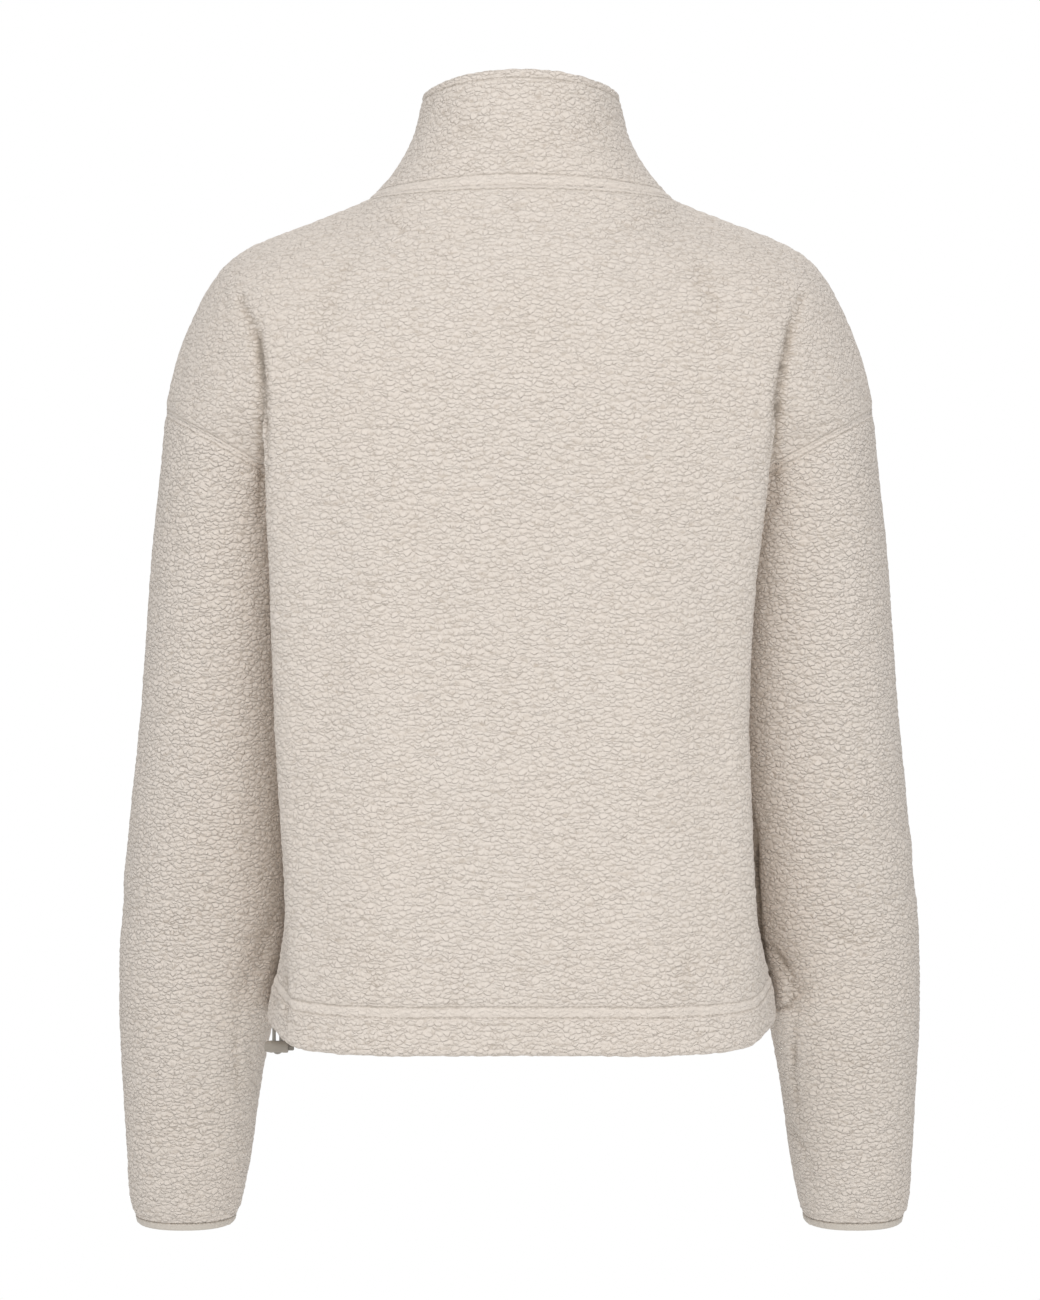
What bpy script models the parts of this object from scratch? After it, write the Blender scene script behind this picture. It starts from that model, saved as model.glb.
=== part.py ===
"""Pile fleece pullover with a stand collar and dropped shoulders, filled out as it is worn.

Metres, +Z up. The wearer faces +Y, so the back faces -Y and the wearer's right is +X.
The origin is at the base of the neck, between the shoulders that carry the garment.
The tables are in millimetres, and every shape is worked out in millimetres and scaled at the end.
"""

import math
from collections import namedtuple

import bmesh
import bpy
import numpy as np
from mathutils import Vector

MM = 0.001

# Thickness of the cloth and of its doubled edges
CLOTH = 3.5
HEM = 8.0
COLLAR = 5.5
SEAM_GAP = 0.36
FOLDED_EDGE = 0.30
CUT_EDGE = 0.12

# How many steps divide the cloth between the sections of each table: across half a panel, then up
# the torso and the shoulder, down the sleeve, up the collar. A finer grid is worked out for normals.
Division = namedtuple("Division", "half_panel torso shoulder sleeve collar")
COARSE = Division(
    (3, 3, 4, 3, 2, 3),
    (2, 1, 1, 1, 1, 2, 2, 2),
    (3, 2, 2, 2, 2, 1, 1),
    (2, 2, 2, 2, 2, 2, 2, 1, 1, 1, 1),
    (1, 1, 1, 1, 1),
)
FINER = 4

# Sections of the back and front, right half, from the hem up to the underarm. Each has the height,
# then (x, y) at the centre, below the neck's side, at the panel's turned corner, twice on the side,
# and at the side seam. The hem rises by the last column, between two shares of the way from the
# centre to the side seam.
RISE_START = 0.05
RISE_END = 0.75
Section = namedtuple("Section", "z mid_y neck edge fold arm seam rise")
BACK_TORSO = (
    Section(-544.3, -116.0, (92, -114), (145, -88), (160, -56), (165, -26), (165, 2), 15.5),
    Section(-516.0, -116.5, (92, -114), (145, -87), (158, -56), (162, -26), (162, 2), 9.0),
    Section(-510.0, -117.0, (92, -115), (145, -87), (157, -56), (160, -26), (161, 2), 8.0),
    Section(-490.0, -117.0, (92, -115), (146, -86), (155, -55), (156, -25), (156, 2), 4.0),
    Section(-455.0, -117.0, (92, -115), (147, -85), (151, -55), (150, -25), (149, 3), 0.0),
    Section(-400.0, -117.0, (92, -115), (148.5, -84), (149, -54), (145, -25), (144, 3), 0.0),
    Section(-330.0, -116.0, (92, -114), (150, -83), (148, -52), (142, -24), (140, 4), 0.0),
    Section(-250.0, -115.0, (92, -113), (154, -82), (149, -50), (142, -24), (139, 6), 0.0),
)
FRONT_TORSO = (
    Section(-544.3, 112.0, (92, 110), (148, 86), (159, 60), (165, 32), (165, 2), 15.5),
    Section(-516.0, 113.0, (92, 111), (148, 86), (155, 60), (160, 32), (162, 2), 9.0),
    Section(-510.0, 113.5, (92, 111), (148, 86), (154, 60), (159, 32), (161, 2), 8.0),
    Section(-490.0, 114.0, (92, 112), (148, 86), (151, 60), (154, 32), (156, 2), 4.0),
    Section(-455.0, 116.0, (92, 114), (147, 86), (146, 60), (147, 32), (149, 3), 0.0),
    Section(-400.0, 119.0, (92, 116), (146, 87), (144, 60), (143, 32), (144, 3), 0.0),
    Section(-330.0, 124.0, (92, 120), (145, 88), (142, 61), (140, 32), (140, 4), 0.0),
    Section(-250.0, 128.0, (92, 123), (147, 90), (142, 62), (139, 34), (139, 6), 0.0),
)

# Sections from the underarm up to the shoulder seam. They fan out from the centre line to the
# armhole, whose angle is the last column: 0 at the underarm, 180 at its top.
Fan = namedtuple("Fan", "mid near neck edge fold arm ring")
BACK_SHOULDER = (
    Fan((-115.5, -203), (48, -115, -203), (92, -112, -203), (158.5, -82, -201), (150, -50, -198),
        (144.5, -20, -192), 0),
    Fan((-115, -170), (48, -114, -170), (92, -111, -171), (160.5, -83, -174), (155, -64, -176),
        (155.5, -54, -176.5), 52),
    Fan((-114, -137), (48, -113, -138), (93, -109, -140), (161.5, -84, -148), (164.5, -70, -152),
        (173, -60, -155.5), 88),
    Fan((-111, -103), (49, -110, -104), (94, -105, -107), (162, -85, -117), (170.5, -76, -123),
        (192, -65, -133), 122),
    Fan((-104, -67), (51, -103, -67), (98, -95, -69), (163, -79, -83), (178, -71, -94),
        (205, -53, -113), 147),
    Fan((-93, -35), (60, -88, -34), (105, -70, -33), (162, -59, -48), (186, -51, -61),
        (212, -34, -94), 162),
    Fan((-80, -9), (76, -62, -6), (114, -30, -8), (162, -30, -27), (190, -26, -43),
        (218, -14, -86), 172),
)
FRONT_SHOULDER = (
    Fan((126, -203), (48, 124, -203), (92, 120, -203), (148, 90, -202), (144.5, 62, -199),
        (142.5, 34, -193), 0),
    Fan((120, -170), (48, 118, -170), (92, 112, -171), (153, 88, -175), (152, 76, -177),
        (155, 69, -177), 52),
    Fan((112, -141), (48, 109, -141), (93, 102, -142), (157, 85, -150), (165, 79, -153),
        (175, 75.5, -156), 88),
    Fan((103, -115), (51, 99, -113), (95, 91, -113), (163, 79, -119), (176, 75, -124),
        (195, 69, -134), 122),
    Fan((94, -94), (57, 86, -88), (100, 73, -79), (165, 67, -87), (182, 62, -96),
        (207, 54, -114), 147),
    Fan((87, -77), (67, 72, -58), (107, 51, -42), (164, 49, -51), (188, 44, -64),
        (214, 37, -95), 162),
    Fan((83, -64), (78, 60, -34), (115, 25, -12), (162, 27, -28), (190, 25, -43),
        (219, 21, -86), 172),
)

# The shoulder line from the collar seam to the armhole's top, as (x, z)
SHOULDER_LINE = (
    (100, 6.5), (112, 1.2), (124, -3.5), (135, -7.8), (150, -13), (167.5, -19.5), (181.3, -26.3),
    (193, -35.2), (204.8, -50.9), (212.5, -66.5), (219.1, -82.3), (224.1, -98), (228.9, -114),
    (232.2, -133.3),
)
SHOULDER_END_Y = 8.0
SHOULDER_MARKS = (100, 162, 190, 219, 232.2)

# Rings of the right sleeve from the armhole to the cuff. The tilt raises a ring's outer side, and
# the pitch raises its front.
Ring = namedtuple("Ring", "x y z half_width half_depth tilt pitch")
SLEEVE = (
    Ring(187.6, 8, -158.0, 51.0, 64.0, 29, 0),
    Ring(191.9, 11, -188.0, 47.3, 64.0, 22, 0),
    Ring(194.0, 15, -230.0, 48.4, 63.5, 12, 0),
    Ring(196.6, 22, -285.0, 49.9, 62.5, 5, 0),
    Ring(199.2, 29, -340.0, 51.9, 61.0, 2, 0),
    Ring(204.5, 39, -405.0, 54.4, 59.0, 0, 1),
    Ring(209.6, 51, -468.0, 55.6, 57.0, 0, 2),
    Ring(216.6, 66, -528.0, 51.0, 54.0, -1, 3),
    Ring(221.2, 81, -580.0, 45.3, 49.5, -2, 4),
    Ring(223.9, 93, -629.0, 40.7, 44.3, -2, 5),
    Ring(226.3, 102, -659.0, 37.0, 39.4, -1, 6),
    Ring(226.7, 104, -671.4, 33.6, 34.6, 0, 6),
)
RING_POWER = 2.3

# Bindings of the cuffs: a folded strip round the sleeve's end
BINDING_TOP = Ring(226.7, 104.1, -671.9, 33.6, 34.6, 0, 6)
BINDING_DEPTH = 5.0
BINDING_THICK = 4.6
BINDING_SWELL = 0.7

# Rings of the collar from its seam to its top edge: half width, then y and z at the back, side and
# front
CollarRing = namedtuple("CollarRing", "half_width y_back y_side y_front z_back z_side z_front")
COLLAR_RINGS = (
    CollarRing(100.0, -71.0, 0, 78, 10.5, 6.5, -55),
    CollarRing(86.0, -69.0, 5, 84, 24.0, 21.3, -42),
    CollarRing(76.6, -66.5, 9, 89, 39.0, 35.6, -26),
    CollarRing(70.0, -63.5, 12, 94, 54.5, 49.6, -9),
    CollarRing(66.7, -60.5, 14, 98, 69.5, 63.2, 8),
    CollarRing(63.9, -58.0, 15, 101, 84.8, 76.2, 24),
)
COLLAR_POWER = 2.25

# How far the body leans towards the wearer's right between the arms, by height
LEAN_Z = (-546, -500, -450, -400, -340, -270, -205, -165, -130, -60, 20)
LEAN_X = (1.0, 2.2, 0.5, -2.0, -5.0, -5.0, -2.8, -1.2, 0.0, 0.8, 1.0)
LEAN_INSIDE = 160.0
LEAN_OUTSIDE = 225.0

# Soft folds of the worn cloth: a trough (or a ridge, where the depth is negative) round a line from
# one point to another, with its width across
Fold = namedtuple("Fold", "start end width depth")
FOLDS = (
    # The right sleeve's bend inside the elbow, and the roll below it
    Fold((158, 0, -478), (181, 10, -515), 9, 5.0),
    Fold((181, 10, -515), (186, 20, -572), 7, 2.6),
    Fold((170, 24, -520), (172, 34, -570), 9, -2.0),
    # The left sleeve's bend
    Fold((-160, -2, -470), (-176, 12, -512), 11, 4.0),
    Fold((-182, 12, -525), (-190, 26, -585), 9, 1.6),
    # Slack over both elbows, front and back
    Fold((225, -10, -415), (262, 20, -400), 13, 2.0),
    Fold((232, 0, -462), (264, 34, -440), 12, 1.8),
    Fold((-222, -14, -395), (-258, 16, -420), 13, 1.8),
    Fold((-230, -4, -455), (-266, 36, -462), 12, 2.0),
    Fold((190, 88, -395), (232, 84, -372), 14, 2.4),
    Fold((192, 96, -448), (240, 88, -430), 13, 2.2),
    Fold((-188, 88, -380), (-234, 84, -398), 14, 2.2),
    Fold((-192, 98, -442), (-238, 90, -452), 13, 2.4),
    # Slack of the back and front panels beside the creases of the arms
    Fold((128, -104, -215), (124, -110, -420), 20, 1.8),
    Fold((-130, -104, -190), (-122, -110, -350), 20, 2.0),
    Fold((-128, -104, -420), (-134, -100, -510), 16, 1.4),
    Fold((126, 108, -200), (112, 118, -360), 18, 2.6),
    Fold((-126, 108, -190), (-116, 116, -330), 18, 2.4),
    # Drag from the neck to the shoulders
    Fold((70, -92, -40), (118, -92, -78), 14, 1.2),
    Fold((-72, -92, -44), (-122, -92, -74), 14, 1.2),
    # Ripples of the drawn hem
    Fold((60, -116, -541), (58, -116, -490), 12, 1.2),
    Fold((-84, -115, -541), (-80, -115, -495), 13, 1.4),
    Fold((-28, 113, -541), (-30, 114, -488), 14, 1.6),
    Fold((88, 111, -541), (84, 112, -492), 13, 1.4),
)

# The drawcord's loop and its lock, which hang below the hem at the wearer's left side
CORD_RADIUS = 1.2
CORD_SPACING = 4.6
CORD_X = -161.4
CORD_Y = -8.0
CORD_TOP_Z = -531.8
LOCK_Z = -550.0
LOOP_Z = -551.6
LOCK_RADIUS = 4.1
LOCK_WALL = 1.4
LOCK_LENGTH = 15.5
LOCK_PAST_CORD = 6.2
# The barrel's outline from its nose to its mouth, as (along, radius)
LOCK_OUTLINE = (
    (0, 0), (0, 2.4), (0.5, 3.0), (1.6, 3.55), (4.0, 4.0), (6.0, 4.1), (14.6, 4.1), (15.3, 3.9),
    (15.5, 3.6), (15.5, 0),
)
LOCK_TRAVEL = 2.0
LOCK_CLEARANCE = 0.3
CORD_CLEARANCE = 0.4
PLUNGER_RADIUS = 2.6
PLUNGER_TIP = 1.2
BUTTON_LENGTH = 3.8
LOCK_SIDES = 24

FLEECE = ((0.62, 0.56, 0.49), 0.95, 0.0)
BINDING = ((0.56, 0.51, 0.45), 0.75, 0.0)
CORD = ((0.30, 0.29, 0.26), 0.70, 0.0)
LOCK = ((0.29, 0.26, 0.22), 0.42, 0.0)


# Curves and grids

def smooth(points, steps):
    """Points on a curve that passes through the given ones along the first axis (Catmull-Rom)."""
    points = np.asarray(points, float)
    gap = np.sqrt(np.maximum(np.linalg.norm(np.diff(points, axis=0), axis=-1, keepdims=True), 1e-6))
    slope = np.diff(points, axis=0) / gap
    middle = (slope[:-1] * gap[1:] + slope[1:] * gap[:-1]) / (gap[1:] + gap[:-1])
    tangent = np.concatenate([2 * slope[:1] - middle[:1], middle, 2 * slope[-1:] - middle[-1:]])
    rows = []
    for k, count in enumerate(steps):
        for f in np.arange(count) / count:
            rows.append(
                (2 * f**3 - 3 * f**2 + 1) * points[k]
                + (f**3 - 2 * f**2 + f) * gap[k] * tangent[k]
                + (3 * f**2 - 2 * f**3) * points[k + 1]
                + (f**3 - f**2) * gap[k] * tangent[k + 1]
            )
    rows.append(points[-1])
    return np.array(rows)


def finer(division, times):
    return Division(*[tuple(times * count for count in steps) for steps in division])


def between(values, steps):
    """Values in equal steps between the given ones."""
    at = np.concatenate([np.arange(c) / c + k for k, c in enumerate(steps)] + [[len(steps)]])
    return np.interp(at, np.arange(len(values)), values)


def power(value, exponent):
    return np.sign(value) * np.abs(value) ** exponent


def unit(vectors):
    return vectors / np.maximum(np.linalg.norm(vectors, axis=-1, keepdims=True), 1e-12)


def mirrored(grid, closed):
    """The left-hand twin of a grid, with its columns the other way round so that it still faces out."""
    return np.roll(grid[:, ::-1], 1 if closed else 0, axis=1) * (-1, 1, 1)


def grid_normals(grid, closed):
    """Normals of a grid of points, facing the side on which rows rise to the left of columns."""
    along = np.gradient(grid, axis=0)
    if closed:
        across = (np.roll(grid, -1, axis=1) - np.roll(grid, 1, axis=1)) / 2
    else:
        across = np.gradient(grid, axis=1)
    return unit(np.cross(across, along))


# Shape of the garment

def sleeve_ring(ring, angles):
    """Points of a ring: 0 degrees is its inner side, 90 its back, 180 its outer side, 270 its front."""
    turn = np.radians(angles)
    tilt, pitch = math.radians(ring.tilt), math.radians(ring.pitch)
    outward = np.array((math.cos(tilt), 0, math.sin(tilt)))
    forward = np.array((0, math.cos(pitch), math.sin(pitch)))
    wide = -power(np.cos(turn), 2 / RING_POWER)[:, None] * ring.half_width
    deep = -power(np.sin(turn), 2 / RING_POWER)[:, None] * ring.half_depth
    return np.array((ring.x, ring.y, ring.z)) + wide * outward + deep * forward


def collar_ring(ring, angles):
    """Points of a ring: 0 degrees is the centre back, 90 the wearer's right, 180 the centre front."""
    turn = np.radians(angles)
    ahead = np.cos(turn) < 0
    y_end = np.where(ahead, ring.y_front, ring.y_back)
    z_end = np.where(ahead, ring.z_front, ring.z_back)
    nearness = np.abs(np.cos(turn))
    x = ring.half_width * power(np.sin(turn), 2 / COLLAR_POWER)
    y = ring.y_side + (y_end - ring.y_side) * nearness ** (2 / COLLAR_POWER)
    z = ring.z_side + (z_end - ring.z_side) * nearness**2
    return np.stack([x, y, z], axis=1)


def shoulder_curve(columns):
    """The shoulder seam of the right half, divided as the sections below it are."""
    first, last = SHOULDER_MARKS[0], SHOULDER_MARKS[-1]
    line = [(x, SHOULDER_END_Y * (x - first) / (last - first), z) for x, z in SHOULDER_LINE]
    dense = smooth(np.array(line)[:, None], [12] * (len(line) - 1))[:, 0]
    length = np.concatenate([[0], np.cumsum(np.linalg.norm(np.diff(dense, axis=0), axis=1))])
    marks = [np.interp(x, dense[:, 0], length) for x in SHOULDER_MARKS]
    at = between(marks, columns[2:])
    return np.stack([np.interp(at, length, dense[:, k]) for k in range(3)], axis=1)


def section_points(section):
    """The centre and the named points of a torso section's right half."""
    x_neck = section.neck[0]
    points = [(0, section.mid_y, 0), (0.52 * x_neck, section.mid_y * 0.78 + section.neck[1] * 0.22, 0)]
    points += [(*at, 0) for at in (section.neck, section.edge, section.fold, section.arm, section.seam)]
    points = np.array(points, float)
    sideways = 1 - np.clip(np.abs(points[:, 1] / section.mid_y), 0, 1)
    lift = np.clip((sideways - RISE_START) / (RISE_END - RISE_START), 0, 1)
    points[:, 2] = section.z + section.rise * lift**2 * (3 - 2 * lift)
    return points


def fan_points(fan, side):
    """The same points of a section above the underarm, which ends at the armhole."""
    end = sleeve_ring(SLEEVE[0], np.array([side * fan.ring]))[0]
    return np.array([(0, *fan.mid), fan.near, fan.neck, fan.edge, fan.fold, fan.arm, end], float)


def with_left_half(half):
    """A row of points from the wearer's left seam to the right one."""
    return np.concatenate([half[:0:-1] * (-1, 1, 1), half])


def panel_grid(torso, fans, side, division):
    """Outer points of the back (side 1) or the front (side -1), hem row first, left column first."""
    columns = division.half_panel
    both = columns[::-1] + columns
    rows = [section_points(s) for s in torso] + [fan_points(f, side) for f in fans]
    rows = [smooth(with_left_half(r)[:, None], both)[:, 0] for r in rows]
    neck_angles = between([0, 90], [columns[0] + columns[1]])
    neck = collar_ring(COLLAR_RINGS[0], neck_angles if side > 0 else 180 - neck_angles)
    rows.append(with_left_half(np.concatenate([neck[:-1], shoulder_curve(columns)])))
    grid = smooth(np.array(rows), division.torso + division.shoulder)
    angles = between([f.ring for f in fans] + [180], division.shoulder)
    armhole = sleeve_ring(SLEEVE[0], side * angles)
    seam = [section_points(s)[-1] for s in torso] + [armhole[0]]
    seam = smooth(np.array(seam)[:, None], division.torso)[:, 0]
    shift = np.concatenate([seam[:-1], armhole]) - grid[:, -1]
    reach = sum(columns[4:])
    fade = np.clip(1 - np.arange(reach) / reach, 0, 1) ** 2
    grid[:, -1:-1 - reach:-1] += shift[:, None] * fade[:, None]
    grid[:, :reach] += (shift * (-1, 1, 1))[:, None] * fade[:, None]
    return grid


def armhole_angles(division):
    """Angles round the armhole at which the back and the front meet the sleeve."""
    back = between([f.ring for f in BACK_SHOULDER] + [180], division.shoulder)
    front = 360 - between([f.ring for f in FRONT_SHOULDER] + [180], division.shoulder)
    return np.concatenate([back, front[-2:0:-1]])


def sleeve_grid(division):
    """Outer points of the right sleeve, armhole first, closed round."""
    angles = armhole_angles(division)
    rings = np.array([sleeve_ring(r, angles) for r in SLEEVE])
    return smooth(rings, division.sleeve)


def collar_grid(division):
    """Outer points of the collar, seam first, closed round, from the centre back to the right."""
    quarter = division.half_panel[0] + division.half_panel[1]
    angles = between([0, 90, 180, 270, 360], [quarter] * 4)[:-1]
    rings = np.array([collar_ring(r, angles) for r in COLLAR_RINGS])
    return smooth(rings, division.collar)


def leaned(points):
    """The points with the body's lean, which fades out across the sleeves."""
    lean = np.interp(points[..., 2], LEAN_Z, LEAN_X)
    across = np.clip((np.abs(points[..., 0]) - LEAN_INSIDE) / (LEAN_OUTSIDE - LEAN_INSIDE), 0, 1)
    moved = points.copy()
    moved[..., 0] += lean * (1 - across**2 * (3 - 2 * across))
    return moved


def fold_depth(points):
    """How far the soft folds push each point inwards."""
    total = np.zeros(points.shape[:-1])
    for fold in FOLDS:
        start, end = np.array(fold.start, float), np.array(fold.end, float)
        run = end - start
        along = ((points - start) @ run) / (run @ run)
        nearest = start + np.clip(along, 0, 1)[..., None] * run
        away = np.linalg.norm(points - nearest, axis=-1) / fold.width
        total += fold.depth * np.exp(-(away**2))
    return total


# Panels: the outer points, their normals and the thickness of the wall

Panel = namedtuple("Panel", "outer normals thick closed edges")


def panel(grid_at, closed, facing, thick, edges):
    """A panel from its grid function. facing is 1 or -1, and thick gives the thickness of each row."""
    fine = leaned(grid_at(finer(COARSE, FINER)))
    normals = grid_normals(fine, closed) * facing
    fine = fine - normals * fold_depth(fine)[..., None]
    normals = grid_normals(fine, closed) * facing
    outer = fine[::FINER, ::FINER]
    return Panel(outer, normals[::FINER, ::FINER], thick(outer), closed, edges)


def body_thickness(outer):
    """The cloth's thickness in each row, doubled at the turned-up hem."""
    hem_rows = COARSE.torso[0] + 1
    thick = np.full(len(outer), CLOTH)
    thick[:hem_rows] = HEM
    return thick


def rim(item):
    """Each point of a panel's edges, with its neighbours along the edge and the next one inwards."""
    rows, columns = item.outer.shape[:2]
    found = []
    for row, beside in ((0, 1), (rows - 1, rows - 2)):
        for c in range(columns):
            if item.closed:
                along = [(row, (c - 1) % columns), (row, (c + 1) % columns)]
            else:
                along = [(row, k) for k in (c - 1, c + 1) if 0 <= k < columns]
            found.append(((row, c), along, (beside, c)))
    if not item.closed:
        for column, beside in ((0, 1), (columns - 1, columns - 2)):
            for r in range(rows):
                along = [(k, column) for k in (r - 1, r + 1) if 0 <= k < rows]
                found.append(((r, column), along, (r, beside)))
    return found


def ways_in(item, at, along, inner, normal):
    """The ways into a panel from a point of its edge, two at a corner, square to the seam's normal."""
    here = item.outer[at]
    runs = [unit(item.outer[k] - here) for k in along]
    if len(runs) == 2 and runs[0] @ runs[1] < -0.7:
        runs = [unit(runs[1] - runs[0])]
    found = []
    for run in runs:
        way = np.cross(item.normals[at], run)
        if way @ (item.outer[inner] - here) < 0:
            way = -way
        found.append(unit(way - normal * (way @ normal)))
    return found


def share_seams(panels):
    """Turns the normals of panels that meet to the same direction, and parts them by the seam gap."""
    rims = [(k, *point) for k, item in enumerate(panels) for point in rim(item)]
    places = np.array([panels[k].outer[at] for k, at, _, _ in rims])
    owners = np.array([k for k, _, _, _ in rims])
    facing = np.array([panels[k].normals[at] for k, at, _, _ in rims])
    shared = {}
    moves = {}
    for n, (k, at, along, inner) in enumerate(rims):
        near = np.linalg.norm(places - places[n], axis=1) < 0.5
        others = sorted(set(owners[near]) - {k})
        if not others:
            continue
        total = 0
        for o in [k, *others]:
            weight = len(others) if panels[o].closed else 1
            total = total + weight * unit(facing[near & (owners == o)].mean(axis=0))
        shared[k, at] = unit(total)
        moves.setdefault((k, at), []).extend(ways_in(panels[k], at, along, inner, shared[k, at]))
    for (k, at), normal in shared.items():
        panels[k].normals[at] = normal
        kept = []
        for way in moves[k, at]:
            if all(way @ other < 0.7 for other in kept):
                kept.append(way)
        panels[k].outer[at] += sum(kept) * (SEAM_GAP / 2)


def wall(item, name):
    """A closed wall between a panel's outer points and the same points moved in by its thickness."""
    outer = item.outer
    inner = outer - item.normals * item.thick[:, None, None]
    rows, columns = outer.shape[:2]
    layers = [outer, inner]
    loop = list(range(columns)) + ([0] if item.closed else [])
    mesh = bmesh.new()
    grid = [[[mesh.verts.new(p * MM) for p in row] for row in layer] for layer in layers]
    for r in range(rows - 1):
        for a, b in zip(loop, loop[1:]):
            mesh.faces.new((grid[0][r][a], grid[0][r][b], grid[0][r + 1][b], grid[0][r + 1][a]))
            mesh.faces.new((grid[1][r][a], grid[1][r + 1][a], grid[1][r + 1][b], grid[1][r][b]))
    for row, beside, rounding in ((0, 1, item.edges[0]), (rows - 1, rows - 2, item.edges[1])):
        if not rounding:
            seam_faces(mesh, [grid[0][row][c] for c in loop], [grid[1][row][c] for c in loop])
            continue
        middle = (outer[row] + inner[row]) / 2
        out_of_panel = unit(outer[row] - outer[beside])
        swell = out_of_panel * item.thick[row] * rounding
        middle = [mesh.verts.new(p * MM) for p in middle + swell]
        for a, b in zip(loop, loop[1:]):
            for one, other in ((grid[0][row], middle), (middle, grid[1][row])):
                mesh.faces.new((one[a], one[b], other[b], other[a]))
        if not item.closed:
            for c in (0, columns - 1):
                mesh.faces.new((grid[0][row][c], middle[c], grid[1][row][c]))
    if not item.closed:
        for c in (0, columns - 1):
            seam_faces(mesh, [row[c] for row in grid[0]], [row[c] for row in grid[1]])
    bmesh.ops.recalc_face_normals(mesh, faces=mesh.faces)
    return finished(mesh, name)


def seam_faces(mesh, outer, inner):
    """The face of a seam, split in triangles in the same way on the two pieces that meet at it."""
    for a in range(len(outer) - 1):
        pair = sorted((a, a + 1), key=lambda k: round(outer[k].co @ Vector((0.31, 0.52, 0.8)), 6))
        low, high = pair
        mesh.faces.new((outer[low], outer[high], inner[low]))
        mesh.faces.new((outer[high], inner[high], inner[low]))


def finished(mesh, name):
    """An object from a bmesh, with smooth faces and sharp edges at its seams."""
    data = bpy.data.meshes.new(name)
    mesh.to_mesh(data)
    mesh.free()
    data.shade_smooth()
    data.set_sharp_from_angle(angle=math.radians(50))
    made = bpy.data.objects.new(name, data)
    bpy.data.collections["pullover"].objects.link(made)
    return made


def cloth_panels():
    """The cut and sewn pieces, by name."""
    def edge_thickness(value):
        return lambda outer: np.full(len(outer), value)

    right_sleeve = panel(
        sleeve_grid, True, -1, edge_thickness(CLOTH), (0, CUT_EDGE)
    )
    left_sleeve = panel(
        lambda division: mirrored(sleeve_grid(division), True), True, -1,
        edge_thickness(CLOTH), (0, CUT_EDGE),
    )
    back = panel(
        lambda division: panel_grid(BACK_TORSO, BACK_SHOULDER, 1, division),
        False, 1, body_thickness, (FOLDED_EDGE, 0),
    )
    front = panel(
        lambda division: panel_grid(FRONT_TORSO, FRONT_SHOULDER, -1, division),
        False, -1, body_thickness, (FOLDED_EDGE, 0),
    )
    collar = panel(collar_grid, True, 1, edge_thickness(COLLAR), (0, FOLDED_EDGE))
    return {
        "back": back,
        "front": front,
        "sleeve_right": right_sleeve,
        "sleeve_left": left_sleeve,
        "collar": collar,
    }


def cuff_binding(name, side):
    """The strip that binds a cuff: a rounded band below the sleeve's end."""
    angles = armhole_angles(COARSE)
    top = sleeve_ring(BINDING_TOP, angles)
    centre = np.array((BINDING_TOP.x, BINDING_TOP.y, BINDING_TOP.z))
    out = unit((top - centre) * (1, 1, 0))
    down = np.array((0, 0, -1.0))
    # Points round the band's section: how far inwards and how far down
    section = (
        (0, 0), (-BINDING_SWELL, BINDING_DEPTH * 0.45), (0.6, BINDING_DEPTH * 0.85),
        (BINDING_THICK * 0.5, BINDING_DEPTH), (BINDING_THICK - 0.6, BINDING_DEPTH * 0.85),
        (BINDING_THICK, BINDING_DEPTH * 0.45), (BINDING_THICK, 0),
    )
    mesh = bmesh.new()
    loops = []
    for inwards, lower in section:
        points = (top - out * inwards + down * lower) * (side, 1, 1)
        loops.append([mesh.verts.new(p * MM) for p in points])
    count = len(angles)
    for one, other in zip(loops, loops[1:] + loops[:1]):
        for a in range(count):
            b = (a + 1) % count
            mesh.faces.new((one[a], one[b], other[b], other[a]))
    bmesh.ops.recalc_face_normals(mesh, faces=mesh.faces)
    return finished(mesh, name)


# Drawcord and lock

def cord_loop():
    """The drawcord's loop: down through the lock, round, and up again."""
    turn = CORD_SPACING / 2
    middle = CORD_X + turn
    bend = [(middle - turn * math.cos(a), LOOP_Z - turn * math.sin(a)) for a in np.linspace(0, math.pi, 9)]
    route = [(CORD_X, CORD_TOP_Z), (CORD_X, LOCK_Z + 2.0)]
    route += bend
    route += [(CORD_X + CORD_SPACING, LOCK_Z + 2.0), (CORD_X + CORD_SPACING, CORD_TOP_Z)]
    curve = bpy.data.curves.new("drawcord", "CURVE")
    curve.dimensions = "3D"
    curve.bevel_depth = CORD_RADIUS * MM
    curve.bevel_resolution = 2
    curve.use_fill_caps = True
    spline = curve.splines.new("POLY")
    spline.points.add(len(route) - 1)
    for point, (x, z) in zip(spline.points, route):
        point.co = (x * MM, CORD_Y * MM, z * MM, 1)
    made = bpy.data.objects.new("drawcord", curve)
    bpy.data.collections["pullover"].objects.link(made)
    return made


def turned(name, start, outline, collection="pullover"):
    """A round piece along X from start, turned from its outline of (along, radius)."""
    mesh = bmesh.new()
    turns = np.arange(LOCK_SIDES) * 2 * math.pi / LOCK_SIDES
    rings = []
    for along, radius in outline:
        around = turns if radius else turns[:1]
        ring = [(along, radius * math.cos(a), radius * math.sin(a)) for a in around]
        rings.append([mesh.verts.new(Vector(point) * MM) for point in ring])
    for one, other in zip(rings, rings[1:]):
        for k in range(LOCK_SIDES):
            corners = [one[k % len(one)], one[(k + 1) % len(one)]]
            corners += [other[(k + 1) % len(other)], other[k % len(other)]]
            mesh.faces.new(list(dict.fromkeys(corners)))
    bmesh.ops.recalc_face_normals(mesh, faces=mesh.faces)
    data = bpy.data.meshes.new(name)
    mesh.to_mesh(data)
    mesh.free()
    made = bpy.data.objects.new(name, data)
    made.location = Vector((start, CORD_Y, LOCK_Z)) * MM
    bpy.data.collections[collection].objects.link(made)
    return made


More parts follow.
